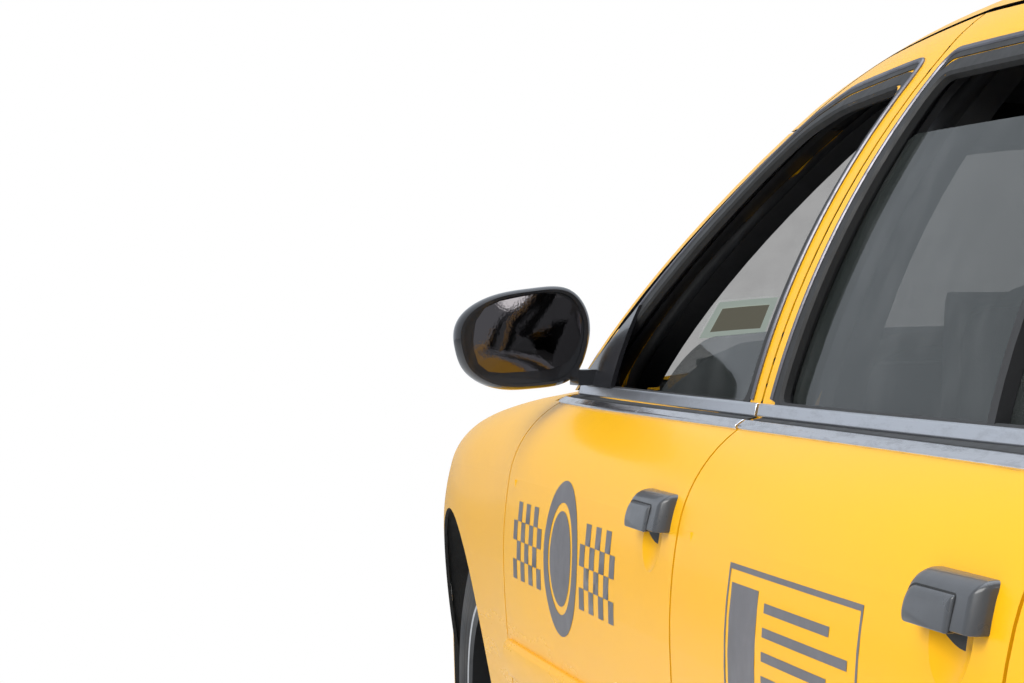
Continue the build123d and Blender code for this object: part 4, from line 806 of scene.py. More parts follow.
class BodyShell:
    """Finishes of the CAD nodes that show as they are, with a black lining on what faces into the cab."""

    PLAIN: dict[str, str] = {
        "nose_panel": "taxi_paint", "front_bumper": "taxi_paint", "rear_bumper": "taxi_paint",
        "hood": "taxi_paint", "trunk_lid": "taxi_paint", "roof_panel": "taxi_paint",
        "cowl_panel": "grained_black", "floor_pan": "underseal", "boot_tub": "underseal",
        "firewall": "underseal", "chassis_frame": "underseal", "fuel_tank": "satin_black",
        "windscreen": "screen_glass",
        "rear_window": "screen_glass", "grille": "worn_chrome", "front_suspension": "cast_metal",
        "rear_axle": "cast_metal", "exhaust": "exhaust_steel", "engine_block": "cast_metal",
        "dashboard": "dash_plastic", "steering_wheel": "dash_plastic", "roof_light": "light_cover",
    }
    SIDED: dict[str, str] = {
        "fender_{}": "taxi_paint", "knuckle_{}": "cast_metal", "headlamp_{}": "lamp_glass",
        "tail_lamp_{}": "lamp_red", "mirror_{}": "gloss_black", "glass_front_{}": "door_glass",
        "glass_rear_{}": "door_glass", "body_side_{}": "taxi_paint", "door_front_{}": "taxi_paint",
        "door_rear_{}": "taxi_paint",
    }
    LINED = ("body_side_{}", "door_front_{}", "door_rear_{}")
    BAR_X = -0.792
    BAR_Z = (0.962, 1.31)
    CAB_X = (-1.46, 1.12)
    DECK_X = -1.2
    ARCH_REACH = 0.387
    ROOF_LINING_Z = 1.46

    def __init__(self, nodes: dict[str, bpy.types.Object], palette: Palette) -> None:
        """Keep the nodes and the finishes."""
        self.nodes = nodes
        self.palette = palette

    def dress(self, node: str, key: str) -> None:
        """Give one CAD node its finish."""
        obj = self.nodes[node]
        obj.data.materials.clear()
        obj.data.materials.append(self.palette.material(key))

    def line_side(self, side: Side, skin_depth: float = 0.0025, belt_z: float = 0.935) -> None:
        """Line one side's posts, door frames and door insides.

        Args:
            side: side of the car.
            skin_depth: faces farther than this from the outer skin count as inside.
            belt_z: height of the window sills, above which that test is enough.
        """
        lined = [self.nodes[pattern.format(side.word)] for pattern in self.LINED]
        covers = ["roof_panel", "windscreen", "rear_window", "trunk_lid", "hood", "cowl_panel",
                  f"glass_front_{side.word}", f"glass_rear_{side.word}"]
        tree = bvh_of([*lined, *[self.nodes[name] for name in covers]])
        out = Vector((0.0, side.value, 0.0))
        corners = [Vector((x, side.value * 1.2, z)) for door in DOORS for x, z in door.window]
        first = len(FRONT_DOOR.window)
        panes = BVHTree.FromPolygons(corners, [tuple(range(first)), tuple(range(first, len(corners)))])
        vertices: list[Vector] = []
        faces: list[tuple[int, ...]] = []
        for obj in lined:
            for polygon in obj.data.polygons:
                sideways = polygon.normal.dot(out) > 0.25 and panes.ray_cast(polygon.center, out)[0] is None
                upwards = polygon.normal.z > 0.25 and polygon.center.x < self.DECK_X
                if not (sideways and tree.ray_cast(polygon.center + out * 0.002, out, 0.6)[0] is None
                        or upwards and tree.ray_cast(polygon.center + UP * 0.002, UP, 1.0)[0] is None):
                    continue
                start = len(vertices)
                vertices.extend(obj.data.vertices[index].co.copy() for index in polygon.vertices)
                faces.append(tuple(range(start, len(vertices))))
        outside = BVHTree.FromPolygons(vertices, faces)
        for obj in lined:
            obj.data.materials.append(self.palette.material("cab_trim"))
            for polygon in obj.data.polygons:
                inward = polygon.normal.dot(out) < -0.5
                x, _, z = polygon.center
                bar = obj is lined[-1] and abs(x - self.BAR_X) < 0.015 and self.BAR_Z[0] < z < self.BAR_Z[1]
                if not self.CAB_X[0] < x < self.CAB_X[1] or z < belt_z and not inward:
                    continue
                if bar or outside.find_nearest(polygon.center)[3] > skin_depth:
                    polygon.material_index = 1

    def second(self, node: str, key: str, wanted: Callable[[bpy.types.MeshPolygon], bool]) -> None:
        """Give some faces of a node a second finish.

        Args:
            node: the CAD node.
            key: the finish.
            wanted: says whether a face gets it.
        """
        obj = self.nodes[node]
        obj.data.materials.append(self.palette.material(key))
        for polygon in obj.data.polygons:
            if wanted(polygon):
                polygon.material_index = 1

    def hidden_in_arch(self, polygon: bpy.types.MeshPolygon, side: Side) -> bool:
        """Whether a face of a fender is its inner face or the lip of its arch."""
        reach = math.hypot(polygon.center.x - FRONT_AXLE_X, polygon.center.z - AXLE_Z)
        inner = polygon.normal.y * side.value < -0.2
        return inner or reach < self.ARCH_REACH and abs(polygon.normal.y) < 0.7

    def build(self) -> None:
        """Dress every node that stays."""
        for node, key in self.PLAIN.items():
            self.dress(node, key)
        for side in Side:
            for pattern, key in self.SIDED.items():
                self.dress(pattern.format(side.word), key)
            self.line_side(side)
            self.second(f"fender_{side.word}", "underseal", lambda face: self.hidden_in_arch(face, side))
        self.second("front_bumper", "underseal", lambda face: face.normal.x < -0.7)
        self.second("rear_bumper", "underseal", lambda face: face.normal.x > 0.7)
        self.second("roof_panel", "cab_trim",
                    lambda face: face.normal.z < 0.05 and face.center.z < self.ROOF_LINING_Z)
        log.info("body shell dressed")


@dataclass
class BeltTrim:
    """Two-step bright strip under the door windows, cut at the door gap."""

    palette: Palette
    skins: dict[Side, BodySkin]
    band_z: float = 0.9325
    band_half: float = 0.0085
    band_high: float = 0.0055
    ledge_z: float = 0.9502
    ledge_half: float = 0.0088
    ledge_high: float = 0.0042
    step_z: float = 0.9412
    step_half: float = 0.0115

    def strip(self, name: str, door: DoorLines, side: Side, z: float, half: float, high: float, key: str,
              front_cut: float) -> None:
        """One strip along one door.

        Args:
            name: piece name.
            door: the door.
            side: side of the car.
            z: height of its middle.
            half: half its width.
            high: how far it stands out.
            key: its finish.
            front_cut: how far its front end stays back.
        """
        path, outs = self.skins[side].line([(door.front_x - front_cut, z), (door.rear_x, z)], 0.02)
        draft = Draft(name)
        draft.sweep(path, outs, rounded_section(half, -0.003, high))
        draft.finish(self.palette, key, f"door_{door.name}_{side.word}", bevel=0.0008)

    def build(self) -> None:
        """Make both strips on all four doors."""
        for side in Side:
            for door in DOORS:
                tag = f"{door.name}_{side.word}"
                self.strip(f"belt_band_{tag}", door, side, self.band_z, self.band_half, self.band_high,
                           "worn_chrome", 0.004)
                edge_z = self.step_z - 0.005
                edge, _ = self.skins[side].line([(door.front_x - 0.020, edge_z), (door.rear_x, edge_z)], 0.02)
                path = [Vector((spot.x, spot.y - side.value * self.step_half, self.step_z)) for spot in edge]
                bed = Draft(f"belt_bed_{tag}")
                bed.sweep(path, [Vector((0.0, side.value * 0.15, 0.99))] * len(path),
                          rounded_section(self.step_half, -0.002, 0.0012))
                bed.finish(self.palette, "seal_rubber", f"door_{door.name}_{side.word}")
                self.strip(f"belt_ledge_{tag}", door, side, self.ledge_z, self.ledge_half, self.ledge_high,
                           "brushed_ledge", 0.024 if door is FRONT_DOOR else 0.004)


@dataclass
class WindowSurrounds:
    """Black rubber round each door window and the thin bright strip outside it."""

    palette: Palette
    skins: dict[Side, BodySkin]
    rubber_half: float = 0.0125
    rubber_high: float = 0.0016
    rubber_lap: float = 0.0045
    corner_radius: float = 0.036
    strip_half: float = 0.0042
    strip_high: float = 0.0034

    def build(self) -> None:
        """Make the rubber and the strip on all four doors."""
        for side in Side:
            for door in DOORS:
                tag = f"{door.name}_{side.word}"
                body = f"door_{door.name}_{side.word}"
                edge = offset_outline(door.window, self.rubber_half - self.rubber_lap)
                outline = rounded_outline(edge, self.corner_radius)
                path, outs = self.skins[side].line([*outline, outline[0]], 0.012)
                rubber = Draft(f"window_rubber_{tag}")
                section = rounded_section(self.rubber_half, -0.010, self.rubber_high)
                rubber.sweep(path[:-1], outs[:-1], section, loop=True)
                rubber.finish(self.palette, "seal_rubber", body)
                path, outs = self.skins[side].line(self.eased(door.frame_strip), 0.012)
                bed = Draft(f"window_bed_{tag}")
                reach = -0.014 * side.value
                bed.sweep(path, outs, [(0.0, -0.003), (reach, -0.003), (reach, 0.0014), (0.0, 0.0014)])
                bed.finish(self.palette, "seal_rubber", body)
                strip = Draft(f"window_strip_{tag}")
                strip.sweep(path, outs, rounded_section(self.strip_half, -0.002, self.strip_high))
                strip.finish(self.palette, "dull_strip", body)

    @staticmethod
    def eased(points: Sequence[Point2], radius: float = 0.03) -> list[Point2]:
        """Open line with its inner corners turned into short curves."""
        eased = [points[0]]
        for before, here, after in zip(*[map(Vector, points[skip:]) for skip in range(3)]):
            start = here + (before - here).normalized() * radius
            end = here + (after - here).normalized() * radius
            eased.extend(curve(start, here, end, 6))
        return [*eased, points[-1]]


@dataclass
class DoorHandle:
    """Pull handle: a bulged bezel, open below, with a flap in its lower front over a hand recess with a dark
    sheet, partly a black liner and partly painted shade.
    """

    palette: Palette
    skins: dict[Side, BodySkin]
    half_length: float = 0.080
    half_height: float = 0.0225
    column: float = 0.040
    rim: float = 0.0145
    groove_wide: float = 0.0018
    clear_of_cup: float = 0.11
    bezel: tuple[tuple[float, float], ...] = ((0.0, -0.004), (0.0, 0.006), (0.0012, 0.0105), (0.004, 0.0155),
                                              (0.008, 0.0188), (0.0125, 0.020))
    groove: tuple[tuple[float, float], ...] = ((0.0, 0.014), (0.0, 0.0203))
    flap: tuple[tuple[float, float], ...] = ((0.0, 0.014), (0.0, 0.0206), (0.0010, 0.0220), (0.0035, 0.0231),
                                             (0.0080, 0.0236))

    @staticmethod
    def outline(front: float, rear: float, high: float, low: float, radii: Sequence[float],
                shrink: float) -> list[Point2]:
        """Four-cornered outline with its own radius at each corner, its foot hardly drawn in.

        Args:
            front: reach to the front of the handle's middle.
            rear: reach to the rear.
            high: top edge.
            low: bottom edge.
            radii: radius at the front top, rear top, rear bottom and front bottom corners.
            shrink: how far it is drawn in.

        Returns:
            Points (x, z) about the handle's middle.
        """
        foot = low + shrink * 0.15
        corners = [Vector((front - shrink, high - shrink)), Vector((-rear + shrink, high - shrink)),
                   Vector((-rear + shrink, foot)), Vector((front - shrink, foot))]
        points: list[Point2] = []
        for index, corner in enumerate(corners):
            radius = max(0.0012, radii[index] - shrink * 0.6)
            before = corner + (corners[index - 1] - corner).normalized() * radius
            after = corner + (corners[(index + 1) % 4] - corner).normalized() * radius
            points.extend(curve(before, corner, after, 8))
        return points

    def place(self, door: DoorLines, side: Side, x: float, z: float, high: float) -> Vector:
        """Point over the door skin as it runs outside the hand recess."""
        cx, cz = door.handle
        rear, _ = self.skins[side].point(cx - self.clear_of_cup, cz + z)
        front, _ = self.skins[side].point(cx + self.clear_of_cup, cz + z)
        share = (x + self.clear_of_cup) / (2 * self.clear_of_cup)
        return Vector((cx + x, rear.y + (front.y - rear.y) * share + side.value * high, cz + z))

    def shell(self, name: str, door: DoorLines, side: Side, sizes: Sequence[float], radii: Sequence[float],
              layers: Sequence[tuple[float, float]], key: str) -> bpy.types.Object:
        """Solid made of one outline at several sizes and heights.

        Args:
            name: piece name.
            door: the door.
            side: side of the car.
            sizes: the outline's front, rear, high and low reach.
            radii: its corner radii.
            layers: (shrink, height above the skin) from the foot to the middle.
            key: finish.

        Returns:
            The object.
        """
        draft = Draft(name)
        rows = [[self.place(door, side, x, z, high) for x, z in self.outline(*sizes, radii, shrink)]
                for shrink, high in layers]
        draft.bowl(rows)
        return draft.finish(self.palette, key, f"door_{door.name}_{side.word}", 40.0)

    def recess(self, name: str, door: DoorLines, side: Side) -> None:
        """Dark sheet in the hand recess, partly a black liner and partly painted shade, deepest below the
        rear of the flap.
        """
        draft = Draft(name)
        rows: list[list[Vector]] = []
        # Painted shade: the black sheet reaches lowest under the rear of the flap, where the handle's shadow
        # falls.
        for row in range(4):
            line: list[Vector] = []
            for step in range(13):
                share = step / 12
                dip = 0.002 + 0.0165 * math.sin(share * math.pi / 2) ** 1.3
                depth = self.half_height - 0.002 + dip * row / 3
                line.append(self.place(door, side, 0.040 - 0.078 * share, -depth, 0.0012))
            rows.append(line)
        draft.grid(rows)
        draft.finish(self.palette, "seal_rubber", f"door_{door.name}_{side.word}", 40.0)

    def build(self) -> None:
        """Make the four handles, each in place of its CAD bar."""
        flap_front, flap_rear = self.half_length - 0.0115, self.half_length - self.column
        flap_high = self.half_height - self.rim
        for side in Side:
            for door in DOORS:
                tag = f"{door.name}_{side.word}"
                bezel = self.shell(f"handle_bezel_{tag}", door, side,
                                   (self.half_length, self.half_length, self.half_height, -self.half_height),
                                   (0.026, 0.008, 0.003, 0.016), self.bezel, "handle_plastic")
                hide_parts(f"handle_{tag}")
                self.shell(f"handle_groove_{tag}", door, side,
                           (flap_front + self.groove_wide, flap_rear + self.groove_wide,
                            flap_high + self.groove_wide, -self.half_height - 0.0004),
                           (0.020, 0.004, 0.002, 0.014), self.groove, "seal_rubber")
                self.shell(f"handle_flap_{tag}", door, side,
                           (flap_front, flap_rear, flap_high, -self.half_height - 0.0012),
                           (0.019, 0.003, 0.002, 0.013), self.flap, "handle_plastic")
                self.recess(f"handle_recess_{tag}", door, side)


@dataclass
class PostCovers:
    """Black covers on the windscreen posts, wherever a front door's frame or window is in front of them."""

    palette: Palette
    nodes: dict[str, bpy.types.Object]
    foot: Point2 = (0.965, 0.950)
    head: Point2 = (0.400, 1.312)
    step: float = 0.004
    flattest: float = 0.012

    @staticmethod
    def rise(values: Sequence[float]) -> float:
        """Distance from the least to the greatest value."""
        return max(values) - min(values)

    def build(self) -> None:
        """Lay a net over each post and keep its hidden cells."""
        foot, head = Vector(self.foot), Vector(self.head)
        across = Vector((foot.y - head.y, head.x - foot.x)).normalized()
        for side in Side:
            post = bvh_of([self.nodes[f"body_side_{side.word}"]])
            door = bvh_of([self.nodes[f"door_front_{side.word}"]])
            out = Vector((0.0, side.value, 0.0))
            corners = [Vector((x, side.value * 1.2, z)) for x, z in FRONT_DOOR.window]
            pane = BVHTree.FromPolygons(corners, [tuple(range(len(corners)))])
            places: dict[tuple[int, int], Vector] = {}
            for i in range(121):
                for j in range(-14, 15):
                    place = foot.lerp(head, i / 120) + across * self.step * j
                    start = Vector((place.x, side.value * 1.3, place.y))
                    hit, normal, _, _ = post.ray_cast(start, -out, 0.66)
                    if hit is None:
                        continue
                    away = hit + out * 0.002
                    slants = [Vector((0.0, out.y, rise)) for rise in (0.0, 0.5, 1.2, -0.5)]
                    behind_door = any(door.ray_cast(away, slant, 0.08)[0] for slant in slants)
                    if not behind_door and pane.ray_cast(away, out)[0] is None:
                        continue
                    places[i, j] = hit + normal * math.copysign(0.0008, normal.dot(out))
            numbers = {key: index for index, key in enumerate(places)}
            cells = [((i, j), (i + 1, j), (i + 1, j + 1), (i, j + 1)) for i, j in places]
            cells = [cell for cell in cells if all(key in places for key in cell)]
            cells = [cell for cell in cells if self.rise([places[key].y for key in cell]) < self.flattest]
            cover = Draft(f"post_cover_{side.word}")
            cover.add(places.values(), [tuple(numbers[key] for key in cell) for cell in cells])
            cover.finish(self.palette, "cab_trim", "body", 60.0)


@dataclass
class ArchLiners:
    """Black liners over the wheels, closed off from the nose and the boot."""

    palette: Palette
    skins: dict[Side, BodySkin]
    axle_z: float = AXLE_Z
    radius: float = 0.394
    inner_y: float = 0.62
    skin_clear: float = 0.0068

    def build(self) -> None:
        """Make one liner a wheel."""
        for corner in Corner:
            rows: list[list[Vector]] = []
            sign = corner.side.value
            for x, z in arc_points((corner.value[1], self.axle_z), self.radius, -8.0, 188.0, 40):
                skin, _ = self.skins[corner.side].point(x, z)
                outer = sign * min(max(abs(skin.y) - self.skin_clear, 0.90), 0.985)
                inner = sign * self.inner_y
                shares = (0.0, 0.3, 0.7, 1.0)
                rows.append([Vector((x, inner + (outer - inner) * share, z)) for share in shares])
            liner = Draft(f"arch_liner_{corner.word}")
            liner.grid(rows)
            liner.finish(self.palette, "underseal", "body", 60.0)


@dataclass
class MirrorGlass:
    """Reflecting glass in each door mirror's housing."""

    palette: Palette
    middle: tuple[float, float, float] = (0.930, 0.958, 1.036)
    outline: tuple[Point2, ...] = ((0.081, 0.012), (0.071, 0.041), (0.050, 0.056), (0.009, 0.064),
                                   (-0.042, 0.071), (-0.076, 0.060), (-0.092, 0.040), (-0.094, 0.014),
                                   (-0.087, -0.014), (-0.076, -0.034), (-0.058, -0.047), (-0.028, -0.052),
                                   (0.048, -0.054), (0.067, -0.048), (0.080, -0.028))

    def build(self) -> None:
        """Make a bulged glass in each housing."""
        for side in Side:
            rows: list[list[Vector]] = []
            for share in (1.0, 0.75, 0.5, 0.25, 0.02):
                ring = rounded_outline([(y * share, z * share) for y, z in self.outline], 0.012 * share, 2)
                x = self.middle[0] + 0.0052 - 0.0028 * (1 - share * share)
                rows.append([Vector((x, side.value * (self.middle[1] + y), self.middle[2] + z))
                             for y, z in ring])
            draft = Draft(f"mirror_glass_{side.word}")
            draft.bowl(rows)
            draft.finish(self.palette, "mirror_face", f"door_front_{side.word}", 60.0)


@dataclass
class RoadWheels:
    """Tyres with a rounded carcass, and the hub caps and nuts of the steel wheels."""

    palette: Palette
    nodes: dict[str, bpy.types.Object]
    axle_z: float = AXLE_Z
    radius: float = AXLE_Z
    rim_radius: float = 0.203
    segments: int = 48
    disc_out: float = 0.050
    nut_circle: float = 0.05715
    cap: tuple[Point2, ...] = ((0.0, 0.030), (0.020, 0.029), (0.034, 0.022), (0.037, 0.010), (0.038, -0.004),
                               (0.0, -0.004))
    nut: tuple[Point2, ...] = ((0.0, 0.019), (0.008, 0.018), (0.0115, 0.014), (0.0115, -0.002), (0.0, -0.002))
    valve: tuple[Point2, ...] = ((0.0, 0.034), (0.0035, 0.033), (0.0042, 0.020), (0.0050, 0.012),
                                 (0.0055, -0.010), (0.0, -0.010))

    def tyre_profile(self) -> list[Point2]:
        """Section of a tyre as (radius, distance from its middle), half of it mirrored."""
        half = [(self.radius, 0.0), (self.radius - 0.0015, 0.052), (self.radius - 0.008, 0.083),
                (self.radius - 0.026, 0.103), (self.radius - 0.062, 0.1125),
                (self.rim_radius + 0.045, 0.1105), (self.rim_radius + 0.016, 0.0995),
                (self.rim_radius + 0.002, 0.095)]
        return [*half, *[(r, -d) for r, d in reversed(half[1:])]]

    def build(self) -> None:
        """Make the four tyres and the fittings on the rims."""
        for corner in Corner:
            word, x, y = corner.value
            centre = Vector((x, y, self.axle_z))
            out = Vector((0.0, corner.side.value, 0.0))
            tyre = Draft(f"tyre_rubber_{word}")
            tyre.turned(centre, out, self.tyre_profile(), self.segments)
            obj = tyre.finish(self.palette, f"tyre_{word}", f"wheel_{word}", 60.0, slot="tyre")
            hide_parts(f"tyre_{word}")
            rim = self.nodes[f"rim_{word}"]
            rim.data.materials.clear()
            rim.data.materials.append(self.palette.material("rim_front" if x > 0 else "rim_rear"))
            self.fittings(word, centre, out)

    def fittings(self, word: str, centre: Vector, out: Vector) -> None:
        """Hub cap, wheel nuts and valve of one wheel.

        Args:
            word: the corner's name.
            centre: middle of the tyre.
            out: outward direction of the axle.
        """
        face = centre + out * self.disc_out
        cap = Draft(f"hub_cap_{word}")
        cap.turned(face, out, self.cap, 32, closed=False)
        cap.finish(self.palette, "rim_silver", f"wheel_{word}", 50.0)
        nuts = Draft(f"wheel_nuts_{word}")
        for index in range(5):
            turn = 2 * math.pi * (index + 0.25) / 5
            spot = face + (FORWARD * math.cos(turn) + UP * math.sin(turn)) * self.nut_circle
            nuts.turned(spot, out, self.nut, 6, closed=False)
        nuts.finish(self.palette, "rim_silver", f"wheel_{word}", 30.0)
        valve = Draft(f"valve_{word}")
        spot = face + FORWARD * 0.135 + out * 0.004
        valve.turned(spot, (out * 0.8 + FORWARD * 0.6).normalized(), self.valve, 12, closed=False)
        valve.finish(self.palette, "seal_rubber", f"wheel_{word}", 40.0)


@dataclass
class BodyMoulding:
    """Protective ridge low on the doors, in the body colour."""

    palette: Palette
    skins: dict[Side, BodySkin]
    z: float = 0.530
    half: float = 0.030
    high: float = 0.013
    front: Point2 = (0.986, -0.058)
    rear: Point2 = (-0.068, -0.935)

    def build(self) -> None:
        """Make the ridge in its two lengths on each side."""
        half, high = self.half, self.high
        for side in Side:
            for start, end, body in ((*self.front, f"door_front_{side.word}"),
                                     (*self.rear, f"door_rear_{side.word}")):
                path, outs = self.skins[side].line([(start, self.z), (end, self.z)], 0.03)
                draft = Draft(f"moulding_{body}")
                draft.sweep(path, outs, [(-half, -0.002), (half, -0.002), (half, high * 0.35),
                                         (half * 0.8, high * 0.85), (half * 0.45, high), (-half * 0.45, high),
                                         (-half * 0.8, high * 0.85), (-half, high * 0.35)])
                draft.finish(self.palette, "taxi_paint", body, bevel=0.0015)


@dataclass
class DoorMarks:
    """Plain grey marks on the doors: checks, a disc and a ruled panel."""

    palette: Palette
    skins: dict[Side, BodySkin]
    lift: float = 0.0005
    grid_step: float = 0.03
    disc: Point2 = (0.575, 0.722)
    check: float = 0.030
    check_foot: float = 0.664
    check_runs: tuple[Point2, ...] = ((0.918, 0.700), (0.450, 0.226))
    panel: tuple[float, float, float, float] = (-0.310, -0.762, 0.640, 0.796)

    def patch(self, draft: Draft, side: Side, corners: Sequence[Point2]) -> None:
        """Four-cornered patch laid onto the skin.

        Args:
            draft: mesh that gets it.
            side: side of the car.
            corners: its corners in side view, in turn.
        """
        a, b, c, d = (Vector(corner) for corner in corners)
        across = max(1, int((b - a).length / self.grid_step))
        down = max(1, int((d - a).length / self.grid_step))
        rows: list[list[Vector]] = []
        for row in range(down + 1):
            v = row / down
            line: list[Vector] = []
            for column in range(across + 1):
                u = column / across
                spot = (a * (1 - u) + b * u) * (1 - v) + (d * (1 - u) + c * u) * v
                hit, normal = self.skins[side].point(spot.x, spot.y)
                line.append(hit + normal * self.lift)
            rows.append(line)
        draft.grid(rows)

    def ring(self, draft: Draft, side: Side, centre: Point2, inner: float, outer: float) -> None:
        """Disc or ring laid onto the skin."""
        steps = 56
        rows: list[list[Vector]] = []
        count = max(2, int((outer - inner) / self.grid_step) + 1)
        for row in range(count + 1):
            radius = max(0.0005, inner + (outer - inner) * row / count)
            line: list[Vector] = []
            for step in range(steps):
                turn = 2 * math.pi * step / steps
                hit, normal = self.skins[side].point(centre[0] + radius * math.cos(turn),
                                                     centre[1] + radius * math.sin(turn))
                line.append(hit + normal * self.lift)
            rows.append(line)
        draft.grid(rows, close_rows=True)

    def front(self, side: Side) -> None:
        """Checked band with a disc in it, on a front door."""
        draft = Draft(f"mark_checks_{side.word}")
        self.ring(draft, side, self.disc, 0.080, 0.111)
        self.ring(draft, side, self.disc, 0.0, 0.068)
        size = self.check
        for first, last in self.check_runs:
            for index in range(int((first - last) / size)):
                for level in range(index % 2, 4, 2):
                    x = first - index * size
                    z = self.check_foot + level * size
                    self.patch(draft, side, ((x, z), (x - size, z), (x - size, z + size), (x, z + size)))
        draft.finish(self.palette, "mark_grey", f"door_front_{side.word}", 80.0)

    def rear(self, side: Side) -> None:
        """Ruled panel with a dark column, on a rear door."""
        draft = Draft(f"mark_panel_{side.word}")
        left, right, low, high = self.panel
        line = 0.006
        for x0, x1, z0, z1 in ((left, right, high - line, high), (left, right, low, low + line),
                               (left, left - line, low + line, high - line),
                               (right + line, right, low + line, high - line),
                               (left - 0.016, left - 0.120, low + 0.020, high - 0.020)):
            self.patch(draft, side, ((x0, z0), (x1, z0), (x1, z1), (x0, z1)))
        for row in range(5):
            z = high - 0.030 - row * 0.025
            end = right + (0.030 if row % 2 else 0.090)
            start = left - 0.145
            self.patch(draft, side, ((start, z - 0.010), (end, z - 0.010), (end, z), (start, z)))
        draft.finish(self.palette, "mark_grey", f"door_rear_{side.word}", 80.0)

    def build(self) -> None:
        """Make the marks on both sides."""
        for side in Side:
            self.front(side)
            self.rear(side)


class InnerSkin:
    """The inner face of one door, found by looking outward from inside the cabin."""

    def __init__(self, nodes: dict[str, bpy.types.Object], door: DoorLines, side: Side) -> None:
        """Take the door's mesh."""
        self.side = side
        self.tree = bvh_of([nodes[f"door_{door.name}_{side.word}"]])

    def point(self, x: float, z: float) -> tuple[Vector, Vector]:
        """Innermost point of the door at a place in side view, and its inward normal."""
        sign = self.side.value
        hit, normal, _, _ = self.tree.ray_cast(Vector((x, sign * 0.5, z)), Vector((0.0, sign, 0.0)), 0.6)
        if hit is None:
            hit, normal, _, _ = self.tree.find_nearest(Vector((x, sign * 0.8, z)))
        if normal.y * sign > 0:
            normal = -normal
        return hit, normal


@dataclass
class DoorCards:
    """Inner panels of the doors with armrest, pull and inside handle."""

    palette: Palette
    nodes: dict[str, bpy.types.Object]
    lift: float = 0.010
    front_outline: tuple[Point2, ...] = ((0.90, 0.90), (0.02, 0.90), (0.02, 0.34), (0.86, 0.34), (0.93, 0.46))
    rear_outline: tuple[Point2, ...] = ((-0.145, 0.90), (-0.95, 0.90), (-0.90, 0.76), (-0.70, 0.56),
                                        (-0.66, 0.34), (-0.145, 0.34))

    def build(self) -> None:
        """Make the four panels."""
        for side in Side:
            for door, outline, rest in (
                (FRONT_DOOR, self.front_outline, (0.18, 0.62)),
                (REAR_DOOR, self.rear_outline, (-0.62, -0.22)),
            ):
                tag = f"{door.name}_{side.word}"
                body = f"door_{door.name}_{side.word}"
                skin = InnerSkin(self.nodes, door, side)
                inward = Vector((0.0, -side.value, 0.0))
                face = [skin.point(x, z)[0].y for x, z in outline]
                flat = side.value * min(abs(y) for y in face)
                rows: list[list[Vector]] = []
                layers = ((0.0, -0.002), (0.0, self.lift * 0.7), (0.006, self.lift), (0.04, self.lift))
                for shrink, lift in layers:
                    ring = rounded_outline(offset_outline(outline, -shrink), 0.03, 4)
                    rows.append([Vector((x, flat, z)) + inward * lift for x, z in ring])
                card = Draft(f"door_card_{tag}")
                card.bowl(rows)
                card.finish(self.palette, "grained_black", body, 40.0)
                arm = Draft(f"door_armrest_{tag}")
                path = [Vector((rest[0] + (rest[1] - rest[0]) * i / 8, flat, 0.66)) + inward * 0.012
                        for i in range(9)]
                arm.sweep(path, [inward] * 9, rounded_section(0.030, -0.006, 0.052, 0.35))
                arm.finish(self.palette, "seat_vinyl", body, 40.0, bevel=0.008, subdivide=1)
                pull = Draft(f"inside_handle_{tag}")
                middle = rest[1] + 0.04
                path = [Vector((middle + 0.055 - 0.11 * i / 6, flat, 0.79)) + inward * 0.012
                        for i in range(7)]
                pull.sweep(path, [inward] * 7, rounded_section(0.013, -0.006, 0.016, 0.4))
                pull.finish(self.palette, "worn_chrome", body, 40.0, bevel=0.003)


@dataclass(frozen=True)
class CushionShape:
    """One padded cushion: its middle, its axes, half sizes, and where seams run across it."""

    name: str
    middle: tuple[float, float, float]
    lean: float
    half_long: float
    half_wide: float
    half_deep: float
    seams: tuple[float, ...] = (-0.36, 0.36)
    cross_seams: tuple[float, ...] = ()

    def axes(self) -> tuple[Vector, Vector, Vector]:
        """Directions along, across and out of the pad."""
        cosine, sine = math.cos(self.lean), math.sin(self.lean)
        return Vector((cosine, 0.0, sine)), Vector((0.0, 1.0, 0.0)), Vector((-sine, 0.0, cosine))


